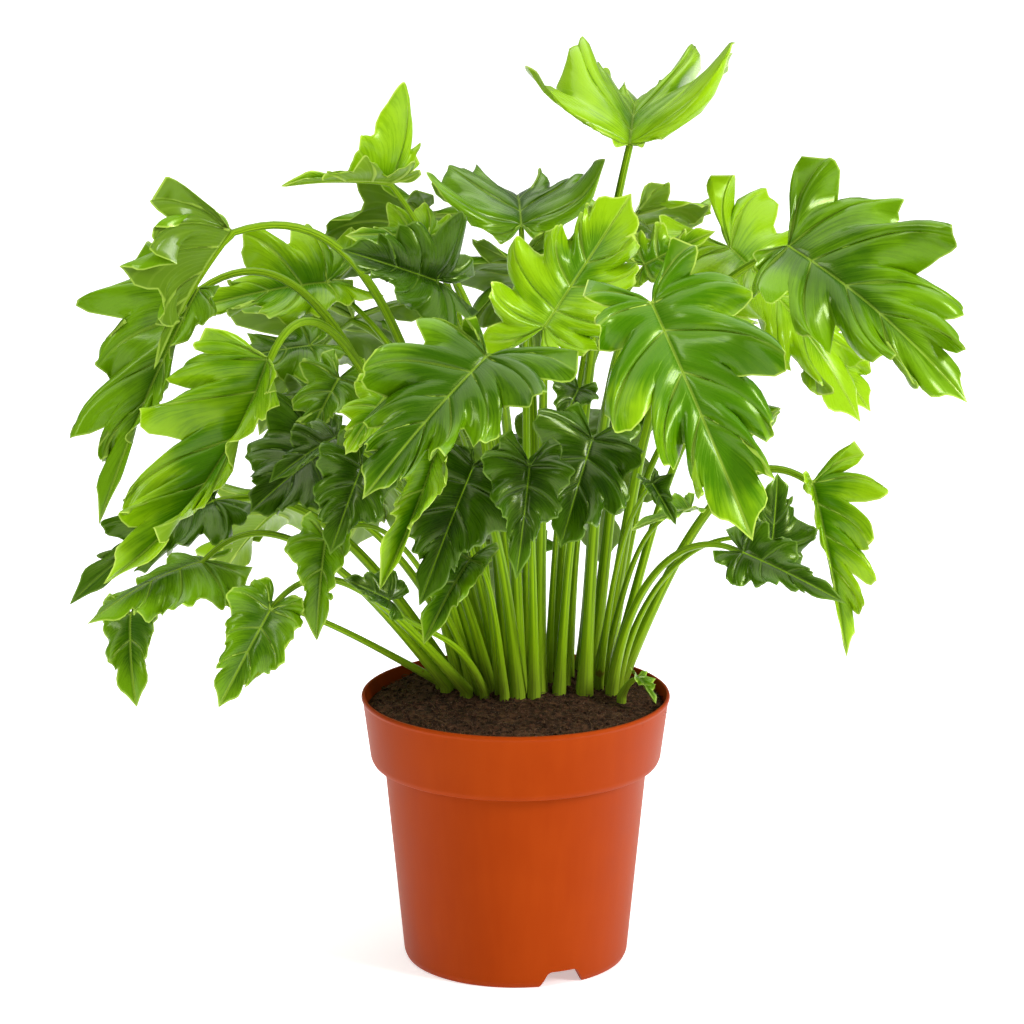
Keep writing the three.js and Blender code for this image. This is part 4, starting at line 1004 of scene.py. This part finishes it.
# Right side, high to low
leaf("right_large", "cut", "green", [146, -5, 400], [240, -40, 322], [0.2, -0.8, 0.5], [47, 31],
     rise=20, arch=40, fold=5, seed=21, spread=0.8, left=[0.38, 0.5, 0.58, 0.52, 0.38],
     right=[0.15, 0.36, 0.44, 0.44, 0.34], sinus=[0.32, 0.42], tone=0.15)
leaf("right_middle_large", "full", "lime", [69, -128, 393], [119, -176, 281], [0, -0.9, 0.42],
     [38, 1], rise=10, arch=25, fold=5, seed=20, spread=0.9, lean=0.3, sinus=[0.4, 0.46],
     left=[0.25, 0.35, 0.44, 0.43, 0.32], right=[0.29, 0.22, 0.46, 0.44, 0.34], tone=-0.95)
leaf("right_behind", "full", "lime", [118, 60, 387], [191, 50, 291], [0.3, -0.6, 0.75], [42, 42],
     rise=30, arch=30, fold=5, seed=22, width=1.1, tone=0.7)
leaf("right_far", "half", "lime", [159, 85, 336], [200, 90, 288], [0.3, -0.6, 0.7], [55, 43],
     rise=10, arch=20, fold=5, seed=46, width=1.2)
leaf("right_hanging", "cut", "lime", [159, -30, 276], [178, -45, 183], [0.45, -0.8, 0.3], [58, 23],
     rise=-30, arch=10, fold=40, seed=24, spread=0.75, left=[0.3, 0.42, 0.42, 0.4, 0.32],
     right=[0.15, 0.16, 0.16, 0.15, 0.14])
leaf("right_inner_strip", "young", "lime", [56, -42, 302], [48, -54, 275], [0.5, -0.5, 0.3],
     [28, 16], rise=10, arch=10, fold=60, seed=42, width=0.6)
leaf("right_inner_dark", "young", "dark", [72, -70, 285], [84, -84, 266], [0.2, -0.7, 0.6],
     [46, 12], rise=30, arch=10, fold=30, seed=43, width=1.2)
leaf("right_inner_pale", "young", "green", [93, -40, 264], [61, -60, 257], [0, -0.3, 0.9], [48, 21],
     rise=10, arch=10, fold=20, seed=44, width=0.9)
leaf("right_low_dark", "half", "dark", [118, -110, 258], [170, -130, 236], [0.1, -0.8, 0.6],
     [53, 4], rise=-5, arch=15, fold=0, seed=25, width=0.85, lean=0.2, tone=0.3)
leaf("right_low_back", "young", "dark", [136, -60, 249], [139, -50, 286], [0.3, -0.9, 0.2],
     [57, 14], rise=-10, arch=10, fold=10, seed=26, width=1.6, sinus=[0.1, 0.1], lean=0.2)
leaf("right_soil", "young", "green", [67, -15, 163], [76, -35, 154], [0.5, -0.3, 0.6], [58, -10],
     rise=20, arch=10, fold=20, seed=37, width=1.1)

# Back
leaf("back_right", "full", "lime", [78, 112, 340], [124, 180, 246], [0.25, 0.8, 0.5], [38, 55],
     rise=10, arch=30, fold=8, seed=51, width=1.1)
leaf("back_left", "cut", "green", [-92, 118, 336], [-150, 178, 254], [-0.3, 0.8, 0.55], [-17, 57],
     rise=10, arch=30, fold=8, seed=52)
leaf("back_middle", "cut", "green", [2, 122, 366], [14, 190, 285], [0, 0.8, 0.6], [12, 57], rise=30,
     arch=30, fold=8, seed=53, width=0.85)
leaf("back_low_left", "full", "green", [-60, 110, 262], [-104, 180, 178], [-0.2, 0.9, 0.4],
     [-8, 64], rise=0, arch=25, fold=5, seed=54, width=1.1)
leaf("back_low_middle", "half", "dark", [32, 128, 262], [52, 184, 172], [0.1, 0.9, 0.4], [22, 65],
     rise=0, arch=25, fold=5, seed=55, width=1.1)
leaf("back_low_right", "half", "green", [108, 100, 292], [132, 168, 228], [0.4, 0.8, 0.4], [52, 53],
     rise=10, arch=25, fold=8, seed=56, width=1.1)
leaf("back_small_left", "half", "lime", [-128, 84, 238], [-178, 132, 168], [-0.5, 0.7, 0.5],
     [-27, 60], rise=-10, arch=25, fold=10, seed=57, width=1.1)
leaf("back_small_middle", "young", "dark", [-8, 118, 205], [-16, 158, 140], [-0.1, 0.9, 0.3],
     [6, 70], rise=0, arch=20, fold=10, seed=58, width=1.3)
leaf("back_top_right", "half", "lime", [66, 88, 400], [100, 148, 350], [0.2, 0.7, 0.7], [26, 53],
     rise=50, arch=25, fold=10, seed=59, width=1.15)
leaf("back_top_left", "half", "green", [-52, 90, 400], [-104, 136, 352], [-0.2, 0.7, 0.7], [-4, 54],
     rise=50, arch=25, fold=10, seed=60, width=1.3)

# Studio: a plain white floor under a white sky, one wide soft lamp high up behind the plant and a
# small one in front on each side. The camera stands where the photograph was taken from, a little
# above the plant and looking down.
CAMERA_PLACE = (-0.002, -2.250, 0.811)
CAMERA_DOWN_DEG = 13.945
CAMERA_LENS = 149.72
CAMERA_SENSOR = 36
FLOOR_HALF = 15000
FLOOR_GLOW = 0.45
SKY_STRENGTH = 0.22
PLANT_MIDDLE = (0, 0, 0.3)

floor_white, place = new_finish("floor_white")
colour = place.noise(3, 2).fade(0.2, 0.8).colours((0.93, 0.93, 0.93, 1), (0.95, 0.95, 0.95, 1))
surface(colour, place.noise(5, 2).fade(0.2, 0.8, 0.7, 0.75), place.noise(200, 2), 0.0,
        Emission_Color=(1, 1, 1, 1), Emission_Strength=FLOOR_GLOW)
corners = ((-1, -1), (1, -1), (1, 1), (-1, 1))
floor = mesh_object(
    "floor", [(x * FLOOR_HALF, y * FLOOR_HALF, 0) for x, y in corners], (), [[0, 1, 2, 3]])
floor.data.materials.append(floor_white)

sky = bpy.data.worlds.new("white_sky")
sky.use_nodes = True
sky.node_tree.nodes["Background"].inputs["Color"].default_value = (1, 1, 1, 1)
sky.node_tree.nodes["Background"].inputs["Strength"].default_value = SKY_STRENGTH
bpy.context.scene.world = sky


def soft_lamp(name, place, aim, size, power):
    """A flat lamp of a given size in metres, turned to face a point."""
    lamp = bpy.data.lights.new(name, "AREA")
    lamp.shape = "RECTANGLE"
    lamp.size, lamp.size_y = size
    lamp.energy = power
    made = bpy.data.objects.new(name, lamp)
    made.location = place
    made.rotation_euler = (Vector(aim) - Vector(place)).to_track_quat("-Z", "Y").to_euler()
    bpy.context.scene.collection.objects.link(made)


soft_lamp("lamp_top", (0, 1.6, 4.6), (0, 1.6, 0), (8, 8), 400)
soft_lamp("lamp_right", (1.9, -1.1, 1.3), PLANT_MIDDLE, (0.5, 0.9), 46)
soft_lamp("lamp_left", (-1.5, -1.6, 1.7), PLANT_MIDDLE, (0.6, 0.9), 16)

lens = bpy.data.cameras.new("camera")
lens.lens = CAMERA_LENS
lens.sensor_width = CAMERA_SENSOR
camera = bpy.data.objects.new("camera", lens)
camera.location = CAMERA_PLACE
camera.rotation_euler = (math.radians(90 - CAMERA_DOWN_DEG), 0, 0)
bpy.context.scene.collection.objects.link(camera)
bpy.context.scene.camera = camera
bpy.context.scene.view_settings.view_transform = "Standard"
